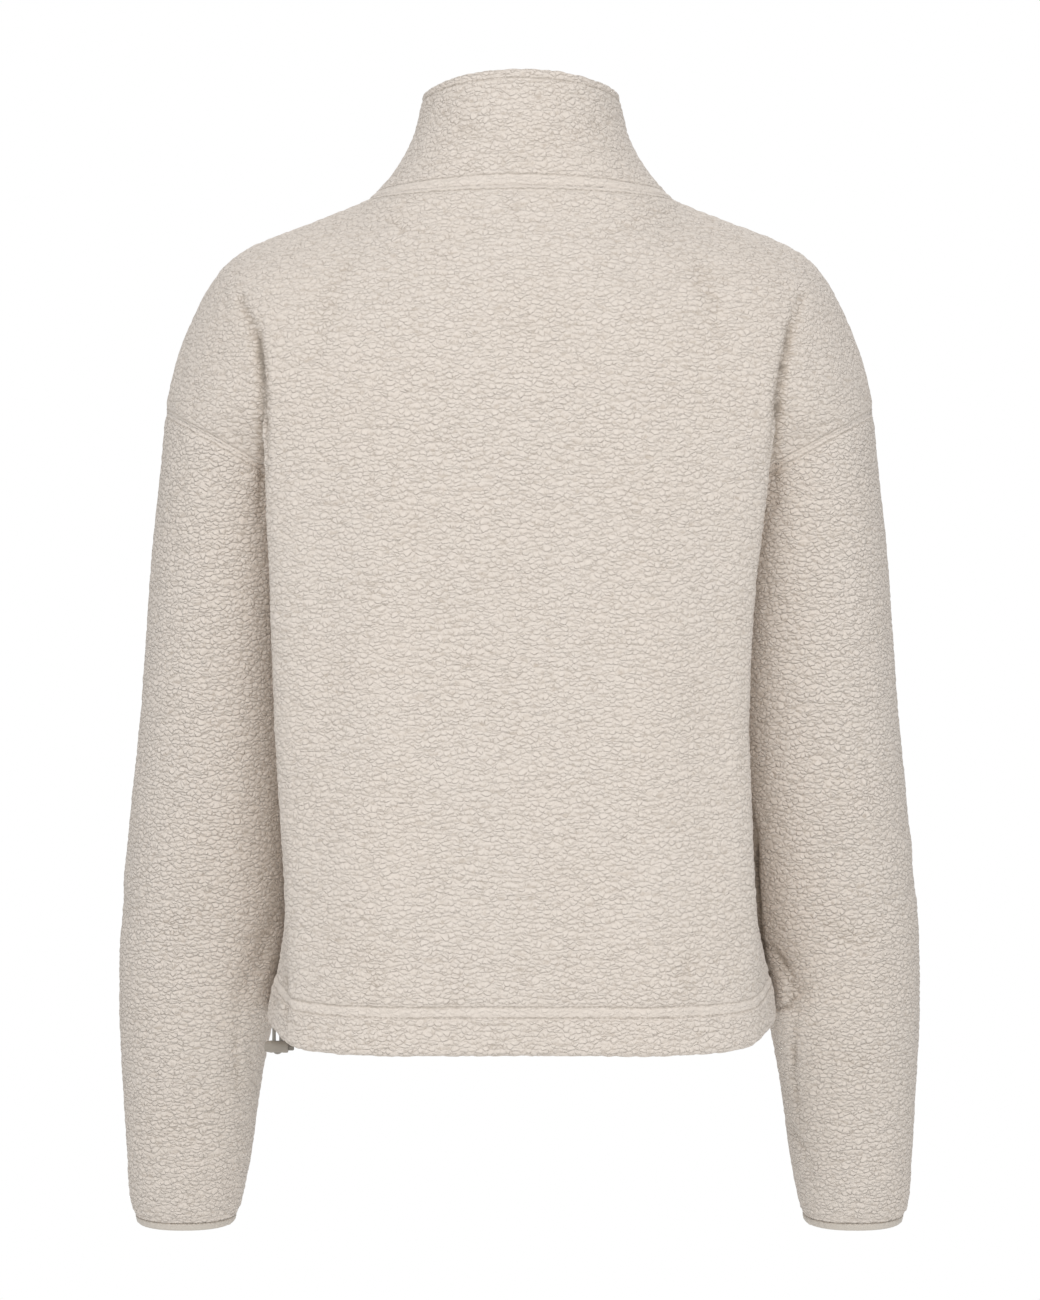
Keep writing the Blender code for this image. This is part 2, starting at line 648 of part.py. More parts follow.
def slot_cutter(name, start, end, half_width):
    """A round-ended slot that runs through the lock from top to bottom."""
    mesh = bmesh.new()
    reach = 3 * LOCK_RADIUS
    ends = ((start + half_width, 90), (end - half_width, -90))
    outline = []
    for centre, first in ends:
        for a in np.linspace(0, math.pi, 9):
            angle = math.radians(first) + a
            outline.append((centre + half_width * math.cos(angle), half_width * math.sin(angle)))
    base = [mesh.verts.new((x * MM, y * MM, -reach / 2 * MM)) for x, y in outline]
    face = mesh.faces.new(base)
    made = bmesh.ops.extrude_face_region(mesh, geom=[face])
    top = [v for v in made["geom"] if isinstance(v, bmesh.types.BMVert)]
    bmesh.ops.translate(mesh, vec=(0, 0, reach * MM), verts=top)
    bmesh.ops.recalc_face_normals(mesh, faces=mesh.faces)
    data = bpy.data.meshes.new(name)
    mesh.to_mesh(data)
    mesh.free()
    cutter = bpy.data.objects.new(name, data)
    cutter.location = Vector((0, CORD_Y, LOCK_Z)) * MM
    bpy.data.collections["cutters"].objects.link(cutter)
    return cutter


def cut(target, cutter):
    """Cuts one object out of another, which keeps the modifier."""
    cutter.hide_render = True
    cutter.display_type = "WIRE"
    modifier = target.modifiers.new(cutter.name, "BOOLEAN")
    modifier.operation = "DIFFERENCE"
    modifier.object = cutter


def bar(length, radius, rounding=0):
    """The outline of a plain round bar, with its ends rounded off."""
    outline = [(0, 0), (0, radius - rounding), (length, radius - rounding), (length, 0)]
    if rounding:
        outline[2:2] = [(rounding, radius), (length - rounding, radius)]
    return outline


def cord_lock():
    """The lock's barrel, and the sprung plunger whose slot grips the cord."""
    left = CORD_X - LOCK_PAST_CORD
    right = left + LOCK_LENGTH
    slot_half_width = CORD_RADIUS + CORD_CLEARANCE
    slot_start = CORD_X - slot_half_width
    barrel = turned("lock_barrel", left, LOCK_OUTLINE)
    bore = bar(LOCK_LENGTH + 5, PLUNGER_RADIUS + LOCK_CLEARANCE)
    cut(barrel, turned("bore", left + LOCK_WALL, bore, "cutters"))
    cut(barrel, slot_cutter("barrel_slot", slot_start, slot_start + CORD_SPACING + 2 * slot_half_width,
                            slot_half_width))
    grip_start = CORD_X - CORD_RADIUS - LOCK_CLEARANCE
    grip_end = grip_start + CORD_SPACING + 2 * CORD_RADIUS + LOCK_TRAVEL + 2 * LOCK_CLEARANCE
    start = grip_start - PLUNGER_TIP
    plunger = turned("lock_plunger", start, bar(right + BUTTON_LENGTH - start, PLUNGER_RADIUS, 0.5))
    cut(plunger, slot_cutter("plunger_slot", grip_start, grip_end, slot_half_width))
    return barrel, plunger


# Materials and assembly

def material(name, colour, roughness, metallic):
    made = bpy.data.materials.new(name)
    made.use_nodes = True
    shader = made.node_tree.nodes["Principled BSDF"]
    shader.inputs["Base Color"].default_value = (*colour, 1)
    shader.inputs["Roughness"].default_value = roughness
    shader.inputs["Metallic"].default_value = metallic
    return made


def clear_scene():
    for old in list(bpy.data.objects):
        bpy.data.objects.remove(old)
    for name in ("pullover", "cutters"):
        bpy.context.scene.collection.children.link(bpy.data.collections.new(name))


def main():
    clear_scene()
    fleece = material("fleece", *FLEECE)
    binding = material("binding", *BINDING)
    cord = material("cord", *CORD)
    lock = material("lock", *LOCK)
    panels = cloth_panels()
    share_seams(list(panels.values()))
    for name, item in panels.items():
        wall(item, name).data.materials.append(fleece)
    for name, side in (("cuff_binding_right", 1), ("cuff_binding_left", -1)):
        cuff_binding(name, side).data.materials.append(binding)
    cord_loop().data.materials.append(cord)
    for piece in cord_lock():
        piece.data.materials.append(lock)


main()
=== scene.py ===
"""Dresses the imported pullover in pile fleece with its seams, bindings, cord and lock.

The frame is in metres. The tables are in millimetres, as the source of the solids has them, and the
cloth is built again from them with a finer grid, so each piece lies on the solid that it replaces.
"""

import math
from collections import namedtuple

import bmesh
import bpy
import numpy as np
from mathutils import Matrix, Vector
from mathutils.kdtree import KDTree


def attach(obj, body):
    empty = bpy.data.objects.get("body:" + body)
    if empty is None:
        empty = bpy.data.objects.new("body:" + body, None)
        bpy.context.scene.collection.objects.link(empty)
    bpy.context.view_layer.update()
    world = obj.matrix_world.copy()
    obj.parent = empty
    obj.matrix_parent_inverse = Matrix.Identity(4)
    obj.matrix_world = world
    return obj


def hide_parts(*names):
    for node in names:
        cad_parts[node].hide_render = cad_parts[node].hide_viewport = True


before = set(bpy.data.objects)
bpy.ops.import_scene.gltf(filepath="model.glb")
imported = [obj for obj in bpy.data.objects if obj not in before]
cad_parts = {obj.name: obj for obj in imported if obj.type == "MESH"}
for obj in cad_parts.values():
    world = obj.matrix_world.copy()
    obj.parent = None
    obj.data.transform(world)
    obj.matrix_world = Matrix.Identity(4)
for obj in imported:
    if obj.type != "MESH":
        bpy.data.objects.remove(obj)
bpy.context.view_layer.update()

MM = 0.001


def table(kind, rows):
    """A table whose rows have the names of that kind's columns."""
    return tuple(kind(*row) for row in rows)


# Thickness of the cloth and of its doubled edges
CLOTH = 3.5
HEM = 8.0
COLLAR = 5.5
FOLDED_EDGE = 0.30

# How many steps divide the cloth between the sections of each table
Division = namedtuple("Division", "half_panel torso shoulder sleeve collar")
FINE = Division(
    (26, 24, 30, 18, 17, 14),
    (19, 4, 12, 21, 33, 42, 48, 28),
    (20, 20, 21, 21, 20, 17, 11),
    (18, 25, 32, 32, 39, 37, 36, 31, 29, 18, 8),
    (10, 10, 11, 10, 10),
)
NECK_COLUMNS = FINE.half_panel[0] + FINE.half_panel[1]

# Sections of the back and front, right half, from the hem up to the underarm. Each has the height,
# then (x, y) at the centre, below the neck's side, at the panel's turned corner, twice on the side,
# and at the side seam. The hem rises by the last column, between two shares of the way from the
# centre to the side seam. The shares set one more point between the centre and the neck's side.
RISE_START = 0.05
RISE_END = 0.75
NEAR_SHARES = (0.52, 0.78, 0.22)
Section = namedtuple("Section", "z mid_y neck edge fold arm seam rise")
BACK_TORSO = table(Section, (
    (-544.3, -116.0, (92, -114), (145, -88), (160, -56), (165, -26), (165, 2), 15.5),
    (-516.0, -116.5, (92, -114), (145, -87), (158, -56), (162, -26), (162, 2), 9.0),
    (-510.0, -117.0, (92, -115), (145, -87), (157, -56), (160, -26), (161, 2), 8.0),
    (-490.0, -117.0, (92, -115), (146, -86), (155, -55), (156, -25), (156, 2), 4.0),
    (-455.0, -117.0, (92, -115), (147, -85), (151, -55), (150, -25), (149, 3), 0.0),
    (-400.0, -117.0, (92, -115), (148.5, -84), (149, -54), (145, -25), (144, 3), 0.0),
    (-330.0, -116.0, (92, -114), (150, -83), (148, -52), (142, -24), (140, 4), 0.0),
    (-250.0, -115.0, (92, -113), (154, -82), (149, -50), (142, -24), (139, 6), 0.0),
))
FRONT_TORSO = table(Section, (
    (-544.3, 112.0, (92, 110), (148, 86), (159, 60), (165, 32), (165, 2), 15.5),
    (-516.0, 113.0, (92, 111), (148, 86), (155, 60), (160, 32), (162, 2), 9.0),
    (-510.0, 113.5, (92, 111), (148, 86), (154, 60), (159, 32), (161, 2), 8.0),
    (-490.0, 114.0, (92, 112), (148, 86), (151, 60), (154, 32), (156, 2), 4.0),
    (-455.0, 116.0, (92, 114), (147, 86), (146, 60), (147, 32), (149, 3), 0.0),
    (-400.0, 119.0, (92, 116), (146, 87), (144, 60), (143, 32), (144, 3), 0.0),
    (-330.0, 124.0, (92, 120), (145, 88), (142, 61), (140, 32), (140, 4), 0.0),
    (-250.0, 128.0, (92, 123), (147, 90), (142, 62), (139, 34), (139, 6), 0.0),
))

# Sections from the underarm up to the shoulder seam. They fan out from the centre line to the
# armhole, whose angle is the last column: 0 at the underarm, 180 at its top.
Fan = namedtuple("Fan", "mid near neck edge fold arm ring")
BACK_SHOULDER = table(Fan, (
    ((-115.5, -203), (48, -115, -203), (92, -112, -203), (158.5, -82, -201), (150, -50, -198),
        (144.5, -20, -192), 0),
    ((-115, -170), (48, -114, -170), (92, -111, -171), (160.5, -83, -174), (155, -64, -176),
        (155.5, -54, -176.5), 52),
    ((-114, -137), (48, -113, -138), (93, -109, -140), (161.5, -84, -148), (164.5, -70, -152),
        (173, -60, -155.5), 88),
    ((-111, -103), (49, -110, -104), (94, -105, -107), (162, -85, -117), (170.5, -76, -123),
        (192, -65, -133), 122),
    ((-104, -67), (51, -103, -67), (98, -95, -69), (163, -79, -83), (178, -71, -94),
        (205, -53, -113), 147),
    ((-93, -35), (60, -88, -34), (105, -70, -33), (162, -59, -48), (186, -51, -61),
        (212, -34, -94), 162),
    ((-80, -9), (76, -62, -6), (114, -30, -8), (162, -30, -27), (190, -26, -43),
        (218, -14, -86), 172),
))
FRONT_SHOULDER = table(Fan, (
    ((126, -203), (48, 124, -203), (92, 120, -203), (148, 90, -202), (144.5, 62, -199),
        (142.5, 34, -193), 0),
    ((120, -170), (48, 118, -170), (92, 112, -171), (153, 88, -175), (152, 76, -177),
        (155, 69, -177), 52),
    ((112, -141), (48, 109, -141), (93, 102, -142), (157, 85, -150), (165, 79, -153),
        (175, 75.5, -156), 88),
    ((103, -115), (51, 99, -113), (95, 91, -113), (163, 79, -119), (176, 75, -124),
        (195, 69, -134), 122),
    ((94, -94), (57, 86, -88), (100, 73, -79), (165, 67, -87), (182, 62, -96),
        (207, 54, -114), 147),
    ((87, -77), (67, 72, -58), (107, 51, -42), (164, 49, -51), (188, 44, -64),
        (214, 37, -95), 162),
    ((83, -64), (78, 60, -34), (115, 25, -12), (162, 27, -28), (190, 25, -43),
        (219, 21, -86), 172),
))

# The shoulder line from the collar seam to the armhole's top, as (x, z)
SHOULDER_LINE = (
    (100, 6.5), (112, 1.2), (124, -3.5), (135, -7.8), (150, -13), (167.5, -19.5), (181.3, -26.3),
    (193, -35.2), (204.8, -50.9), (212.5, -66.5), (219.1, -82.3), (224.1, -98), (228.9, -114),
    (232.2, -133.3),
)
SHOULDER_END_Y = 8.0
SHOULDER_MARKS = (100, 162, 190, 219, 232.2)
SHOULDER_STEPS = 12

# Rings of the right sleeve from the armhole to the cuff. The tilt raises a ring's outer side, and
# the pitch raises its front.
Ring = namedtuple("Ring", "x y z half_width half_depth tilt pitch")
SLEEVE = table(Ring, (
    (187.6, 8, -158.0, 51.0, 64.0, 29, 0),
    (191.9, 11, -188.0, 47.3, 64.0, 22, 0),
    (194.0, 15, -230.0, 48.4, 63.5, 12, 0),
    (196.6, 22, -285.0, 49.9, 62.5, 5, 0),
    (199.2, 29, -340.0, 51.9, 61.0, 2, 0),
    (204.5, 39, -405.0, 54.4, 59.0, 0, 1),
    (209.6, 51, -468.0, 55.6, 57.0, 0, 2),
    (216.6, 66, -528.0, 51.0, 54.0, -1, 3),
    (221.2, 81, -580.0, 45.3, 49.5, -2, 4),
    (223.9, 93, -629.0, 40.7, 44.3, -2, 5),
    (226.3, 102, -659.0, 37.0, 39.4, -1, 6),
    (226.7, 104, -671.4, 33.6, 34.6, 0, 6),
))
RING_POWER = 2.3

# Bindings of the cuffs: a folded strip round the sleeve's end
BINDING_TOP = Ring(226.7, 104.1, -671.9, 33.6, 34.6, 0, 6)
BINDING_DEPTH = 5.0
BINDING_THICK = 4.6
BINDING_SWELL = 0.7
BINDING_SIDES = 240
BINDING_FOLD = 0.45
BINDING_ROUND = 0.12
# Its ripples round the cuff as (height, number, phase), its join's place in degrees, and the ridge
# and the groove there as (height, degrees past that place, width in degrees)
BINDING_RIPPLES = ((0.16, 46, 1.5), (0.12, 31, 1))
BINDING_JOIN = 24.0
JOIN_STEPS = ((0.45, 0.0, 2.4), (-0.3, 4.0, 1.2))

# Rings of the collar from its seam to its top edge: half width, then y and z at the back, side and
# front
CollarRing = namedtuple("CollarRing", "half_width y_back y_side y_front z_back z_side z_front")
COLLAR_RINGS = table(CollarRing, (
    (100.0, -71.0, 0, 78, 10.5, 6.5, -55),
    (86.0, -69.0, 5, 84, 24.0, 21.3, -42),
    (76.6, -66.5, 9, 89, 39.0, 35.6, -26),
    (70.0, -63.5, 12, 94, 54.5, 49.6, -9),
    (66.7, -60.5, 14, 98, 69.5, 63.2, 8),
    (63.9, -58.0, 15, 101, 84.8, 76.2, 24),
))
COLLAR_POWER = 2.25

# How far the body leans towards the wearer's right between the arms, by height
LEAN_Z = (-546, -500, -450, -400, -340, -270, -205, -165, -130, -60, 20)
LEAN_X = (1.0, 2.2, 0.5, -2.0, -5.0, -5.0, -2.8, -1.2, 0.0, 0.8, 1.0)
LEAN_INSIDE = 160.0
LEAN_OUTSIDE = 225.0

# Soft folds of the worn cloth: a trough (or a ridge, where the depth is negative) round a line from
# one point to another, with its width across
Fold = namedtuple("Fold", "start end width depth")
FOLDS = table(Fold, (
    # The right sleeve's bend inside the elbow, and the roll below it
    ((158, 0, -478), (181, 10, -515), 9, 5.0),
    ((181, 10, -515), (186, 20, -572), 7, 2.6),
    ((170, 24, -520), (172, 34, -570), 9, -2.0),
    # The left sleeve's bend
    ((-160, -2, -470), (-176, 12, -512), 11, 4.0),
    ((-182, 12, -525), (-190, 26, -585), 9, 1.6),
    # Slack over both elbows, front and back
    ((225, -10, -415), (262, 20, -400), 13, 2.0),
    ((232, 0, -462), (264, 34, -440), 12, 1.8),
    ((-222, -14, -395), (-258, 16, -420), 13, 1.8),
    ((-230, -4, -455), (-266, 36, -462), 12, 2.0),
    ((190, 88, -395), (232, 84, -372), 14, 2.4),
    ((192, 96, -448), (240, 88, -430), 13, 2.2),
    ((-188, 88, -380), (-234, 84, -398), 14, 2.2),
    ((-192, 98, -442), (-238, 90, -452), 13, 2.4),
    # Slack of the back and front panels beside the creases of the arms
    ((128, -104, -215), (124, -110, -420), 20, 1.8),
    ((-130, -104, -190), (-122, -110, -350), 20, 2.0),
    ((-128, -104, -420), (-134, -100, -510), 16, 1.4),
    ((126, 108, -200), (112, 118, -360), 18, 2.6),
    ((-126, 108, -190), (-116, 116, -330), 18, 2.4),
    # Drag from the neck to the shoulders
    ((70, -92, -40), (118, -92, -78), 14, 1.2),
    ((-72, -92, -44), (-122, -92, -74), 14, 1.2),
    # Ripples of the drawn hem
    ((60, -116, -541), (58, -116, -490), 12, 1.2),
    ((-84, -115, -541), (-80, -115, -495), 13, 1.4),
    ((-28, 113, -541), (-30, 114, -488), 14, 1.6),
    ((88, 111, -541), (84, 112, -492), 13, 1.4),
))

# The smallest folds and puckers of the side that the photograph shows, as lines of (x, z)
Crease = namedtuple("Crease", "line width depth")
CREASES = table(Crease, (
    # The right sleeve: where it meets the body, the roll inside the elbow with its hook, the
    # puckers of the seam below it and the fold above the cuff
    (((150, -385), (155, -410), (156, -439), (158, -471), (160.5, -492), (165, -512), (168, -530)),
     2.6, 4.6),
    (((165, -485), (172, -492), (178, -502), (182, -513), (183.5, -527)), 3.0, 2.8),
    (((182, -517), (179, -525), (173, -528), (168, -526)), 1.6, 2.6),
    (((184, -532), (183, -552), (183, -569), (185, -585), (188, -603)), 1.6, 2.0),
    (((174, -532), (175, -556), (178, -582)), 5.0, -1.3),
    (((176, -598), (182, -610), (188, -619), (193, -626), (195, -642)), 2.5, 1.6),
    (((196, -468), (214, -478), (236, -474)), 8, 0.9),
    (((200, -556), (222, -562), (244, -556)), 9, 0.8),
    # The left sleeve
    (((-151, -470), (-153, -488), (-158, -503), (-162, -520), (-164, -532)), 2.4, 2.4),
    (((-160, -462), (-168, -480), (-172, -500)), 4.0, 1.5),
    (((-186, -528), (-189, -560), (-188, -590)), 2.4, 0.9),
    (((-198, -458), (-222, -470), (-246, -462)), 8, 0.9),
    (((-204, -604), (-224, -610), (-246, -604)), 8, 0.7),
    # Where the dropped shoulders fall over the arms
    (((-181, -62), (-174, -77), (-169, -89), (-166, -110), (-165, -131), (-166, -165),
      (-168, -200)), 3.8, 3.7),
    (((183, -60), (176, -80), (170.5, -104), (167, -127), (165, -159), (166, -195)), 3.8, 3.5),
    # The side of the body at the hem
    (((-151, -490), (-151.5, -512), (-150, -531)), 2.4, 2.6),
    (((-159, -500), (-160, -524)), 5.0, 1.6),
    # Puckers below the collar's seam and drag towards the shoulders
    (((-14, 4), (-4, -7), (0, -16)), 1.8, 0.8),
    (((-30, 5), (-24, -3)), 1.8, 0.6),
    (((22, 4), (28, -6)), 1.8, 0.6),
    (((-88, -8), (-70, -20), (-50, -24)), 4, 0.7),
    (((84, -10), (66, -20), (48, -23)), 4, 0.7),
    (((-104, -30), (-120, -60), (-128, -96)), 7, 1.0),
    (((106, -30), (122, -60), (130, -96)), 7, 1.0),
    # The collar
    (((-58, 66), (-40, 48), (-16, 42)), 6, 0.5),
    (((60, 60), (38, 44), (10, 40)), 6, 0.5),
    # Slack of the back above the hem
    (((-96, -470), (-92, -500), (-94, -520)), 6, 0.6),
    (((34, -478), (30, -505), (32, -522)), 6, 0.6),
    (((112, -470), (106, -498), (108, -520)), 7, 0.8),
    (((-40, -486), (-38, -508), (-41, -520)), 5, 0.5),
))

# The same on the side that it doesn't show
FRONT_CREASES = table(Crease, (
    (((-178, -68), (-172, -88), (-168, -110), (-168, -142), (-166, -162), (-161, -190)), 3.6, 3.1),
    (((180, -62), (173, -82), (169, -108), (167, -148), (163, -172), (156, -196)), 3.6, 3.4),
    # Puckers below the collar's seam and drag from the shoulders
    (((-20, -53), (-12, -66)), 2.0, 0.7),
    (((14, -53), (21, -67)), 1.8, 0.7),
    (((46, -44), (55, -57)), 2.0, 0.6),
    (((-100, -34), (-112, -66), (-118, -102)), 7, 1.0),
    (((104, -32), (118, -62), (127, -104)), 7, 1.0),
    # Slack across the waist and above the hem
    (((-66, -418), (-22, -431), (28, -425)), 10, 0.8),
    (((96, -376), (62, -397), (26, -403)), 9, 0.7),
    (((-110, -472), (-104, -500), (-107, -522)), 6, 0.8),
    (((-52, -484), (-50, -508), (-53, -521)), 5, 0.5),
    (((24, -476), (20, -506), (23, -522)), 6, 0.7),
    (((88, -480), (84, -504), (87, -520)), 5, 0.6),
    # The bend of each elbow and the slack above the cuffs
    (((-198, -328), (-222, -342), (-246, -333)), 7, 1.4),
    (((-194, -352), (-213, -361), (-233, -355)), 6, 1.0),
    (((200, -322), (224, -338), (248, -328)), 7, 1.4),
    (((198, -352), (221, -363), (241, -352)), 6, 1.1),
    (((-206, -600), (-224, -608), (-241, -601)), 6, 0.8),
    (((207, -588), (227, -598), (245, -590)), 6, 0.8),
))

# The pile: tufts and the clumps they lie in, as (width, depth, height), the lumps that both lie in,
# their shares of its height, and how far and over what distance their cells wander
TUFT = (6.0, 6.0, 4.0)
CLUMP = (9.5, 9.5, 5.2)
LUMP = 19.0
TUFT_SHARE, CLUMP_SHARE, LUMP_SHARE = 0.25, 0.5, 0.25
# Where in its cell a tuft's middle may lie, from and over which share, how wide a furrow is beside
# it, and how much of its height is flat and how much round
TUFT_MIDDLE = (0.1, 0.8)
FURROW = 0.4
TUFT_FLAT, TUFT_ROUND = 0.65, 0.35
WANDER = (1.2, 1.2, 0.9)
WANDER_SIZE = 8.0

# How high the pile stands at a cut edge, at its lowest and by its tufts, and the edge's width
PILE_EDGE = 0.4
PILE_BASE = 0.35
PILE_TUFTS = 1.3
EDGE_WIDTH = 1.3

# How much lower the pile is where it is pressed down and beside a stitch line, the line's own
# depth, and how far from the line each ends
PRESSED = 0.4
BESIDE_LINE = 0.5
BESIDE_WIDTH = 1.5
LINE_DEPTH = 0.45
LINE_WIDTH = 1.2
PRESS_RAMP = (-1.2, 0.6)
COLLAR_PRESS_RAMP = (-0.8, 0.8)
SLEEVE_SEAM_PRESS = 0.8
SLEEVE_SEAM_RAMP = (-2.0, 0.5)

# Creases: how far their depth varies and over what distance, what is left of it at their ends, the
# share of their length that an end takes, and how squarely the cloth faces a side where they show.
# The fold shade is painted shade: what a deep crease takes from the relief that the shader reads,
# which darkens its colour there.
CREASE_VARIES = 0.3
CREASE_SIZE = 9.0
CREASE_SALT = 71
CREASE_END = 0.4
CREASE_TAPER = 0.3
CREASE_FACING = (0.05, 0.4)
FOLD_SHADE = 0.5

# Fine waves of the sewn cloth, along the hem's casing and round the cuffs, which fade in from an
# edge over the last distance
Ripple = namedtuple("Ripple", "height wave wander size middle spread fade")
HEM_PUCKERS = Ripple(0.45, 3.1, 2.2, 17.0, 24.5, 9.0, 6)
CUFF_GATHERS = Ripple(0.5, 2.3, 1.6, 11.0, 0.0, 7.0, 3)

# Steps round a folded edge, where its rows stand before the first row, and the outer grid's steps
# in one of the hem's inside and of the plain inside
FOLD_STEPS = 8
FOLD_PLACES = (-4, -0.5)
HEM_STEP = 3
INSIDE_STEP = 6
# How near points of a seam lie, and the distance that stands for no seam
SEAM_REACH = 0.9
NO_SEAM = 40
NO_SEAM_INSIDE = 20.0

# Stitch lines, as distances from the seam or the edge, and the steps of the grid, from the
# underarm and from the collar's side, over which the lines of the armhole and the neck come in
HEM_LINES = (21.0, 28.0)
CASING = 30.5
ARMHOLE_LINE = 2.7
ARMHOLE_LINE_START = (-2, 6)
NECK_LINE_BODY = 2.7
NECK_LINE_END = (-1, 6)
NECK_LINE_COLLAR = 7.6
COLLAR_TOP_LINE = 7.0
CUFF_LINE = 2.4
STITCH_PITCH = 3.4
STITCH_LENGTH = 2.5
THREAD_RADIUS = 0.2
THREAD_SINK = 0.05
THREAD_SIDES = 4
# A stitch from end to end: how far it lifts off the cloth, and its thickness
STITCH_LIFT = (-0.75, 0.05, 0.16, 0.05, -0.75)
STITCH_SWELL = (0.75, 1.0, 1.05, 1.0, 0.75)

# The drawcord's loop
CORD_RADIUS = 1.2
CORD_SPACING = 4.6
CORD_X = -161.4
CORD_Y = -8.0
CORD_TOP_Z = -531.8
LOCK_Z = -550.0
LOOP_Z = -551.6

# Colours, linear
# FLEECE_TOP is the pile's colour with painted light on its tops, FLEECE_LOW with painted shade in
# its furrows and folds; the plain inside takes both for its own tone.
FLEECE_TOP = (0.835, 0.752, 0.675)
FLEECE_LOW = (0.56, 0.475, 0.395)
FLEECE_WARM = (0.835, 0.744, 0.66)
# Pebbles of the pile, and the rows that they join into, in each metre along X, Y and Z, and where
# from its middle, in cells, the underside of one ends and begins
PEBBLES = (260.0, 260.0, 350.0)
PEBBLE_ROWS = (85.0, 85.0, 190.0)
# The underside of each pebble takes painted shade, as if lit from above
PEBBLE_UNDER = (-0.45, 0.12)
# Noises of the pile's shader, as features in each metre, detail and roughness, and how far the
# first one moves the pebbles, in metres
FLEECE_NOISES = {
    "warp": (150.0, 2.0, 0.5),
    "uneven": (130.0, 1.0, 0.5),
    "curls": (620.0, 1.0, 0.6),
    "fibres": (1900.0, 1.0, 0.6),
    "wander": (230.0, 1.0, 0.5),
    "broken": (90.0, 2.0, 0.7),
    "patches": (16.0, 1.0, 0.5),
}
PEBBLE_WARP = (0.0050, 0.0050, 0.0042)
BINDING_COLOUR = (0.66, 0.60, 0.53)
THREAD_COLOUR = (0.66, 0.60, 0.53)
CORD_COLOUR = (0.36, 0.33, 0.29)
LOCK_COLOUR = (0.30, 0.265, 0.225)

# Camera, lights as (name, place, size, power), and the floor
CAMERA_AT = (0.000325, -3.245, -0.28925)
CAMERA_LENS = 136.33
CAMERA_SENSOR = 36.0
CAMERA_REACH = 60.0
LIGHTS = (
    ("key", (-0.4, -2.2, 1.7), 1.4, 18.0),
    ("front", (0.3, -2.6, -0.3), 2.2, 14.0),
    ("back", (0.3, 2.4, 1.2), 2.0, 26.0),
)
LIGHTS_AIM = (0, 0, -0.3)
FILL_COLOUR = (0.98, 0.99, 1.0, 1.0)
FILL = 0.635
FLOOR_RADIUS = 3.0
FLOOR_SIDES = 96
FLOOR_Z = -1.4
FLOOR_TONES = ((0.84, 0.84, 0.83), (0.88, 0.88, 0.87))


# Curves and grids, as the solids have them

def smooth(points, steps):
    """Points on a curve that passes through the given ones along the first axis (Catmull-Rom)."""
    points = np.asarray(points, float)
    gap = np.sqrt(np.maximum(np.linalg.norm(np.diff(points, axis=0), axis=-1, keepdims=True), 1e-6))
    slope = np.diff(points, axis=0) / gap
    middle = (slope[:-1] * gap[1:] + slope[1:] * gap[:-1]) / (gap[1:] + gap[:-1])
    tangent = np.concatenate([2 * slope[:1] - middle[:1], middle, 2 * slope[-1:] - middle[-1:]])
    rows = []
    for k, count in enumerate(steps):
        for f in np.arange(count) / count:
            rows.append(
                (2 * f**3 - 3 * f**2 + 1) * points[k]
                + (f**3 - 2 * f**2 + f) * gap[k] * tangent[k]
                + (3 * f**2 - 2 * f**3) * points[k + 1]
                + (f**3 - f**2) * gap[k] * tangent[k + 1]
            )
    rows.append(points[-1])
    return np.array(rows)


def between(values, steps):
    """Values in equal steps between the given ones."""
    at = np.concatenate([np.arange(c) / c + k for k, c in enumerate(steps)] + [[len(steps)]])
    return np.interp(at, np.arange(len(values)), values)


def power(value, exponent):
    return np.sign(value) * np.abs(value) ** exponent


def unit(vectors):
    return vectors / np.maximum(np.linalg.norm(vectors, axis=-1, keepdims=True), 1e-12)


def mirrored(grid):
    """The left-hand twin of a closed grid. Its columns run the other way, so that it faces out."""
    return np.roll(grid[:, ::-1], 1, axis=1) * (-1, 1, 1)


def grid_normals(grid, closed):
    """Normals of a grid of points, facing the side on which rows rise to the left of columns."""
    along = np.gradient(grid, axis=0)
    if closed:
        across = (np.roll(grid, -1, axis=1) - np.roll(grid, 1, axis=1)) / 2
    else:
        across = np.gradient(grid, axis=1)
    return unit(np.cross(across, along))


# Shape of the garment

def sleeve_ring(ring, angles):
    """Points of a ring: 0 degrees is its inner side, 90 its back, 180 its outer side."""
    turn = np.radians(angles)
    tilt, pitch = math.radians(ring.tilt), math.radians(ring.pitch)
    outward = np.array((math.cos(tilt), 0, math.sin(tilt)))
    forward = np.array((0, math.cos(pitch), math.sin(pitch)))
    wide = -power(np.cos(turn), 2 / RING_POWER)[:, None] * ring.half_width
    deep = -power(np.sin(turn), 2 / RING_POWER)[:, None] * ring.half_depth
    return np.array((ring.x, ring.y, ring.z)) + wide * outward + deep * forward


def collar_ring(ring, angles):
    """Points of a ring: 0 degrees is the centre back, 90 the wearer's right, 180 the front."""
    turn = np.radians(angles)
    ahead = np.cos(turn) < 0
    y_end = np.where(ahead, ring.y_front, ring.y_back)
    z_end = np.where(ahead, ring.z_front, ring.z_back)
    nearness = np.abs(np.cos(turn))
    x = ring.half_width * power(np.sin(turn), 2 / COLLAR_POWER)
    y = ring.y_side + (y_end - ring.y_side) * nearness ** (2 / COLLAR_POWER)
    z = ring.z_side + (z_end - ring.z_side) * nearness**2
    return np.stack([x, y, z], axis=1)


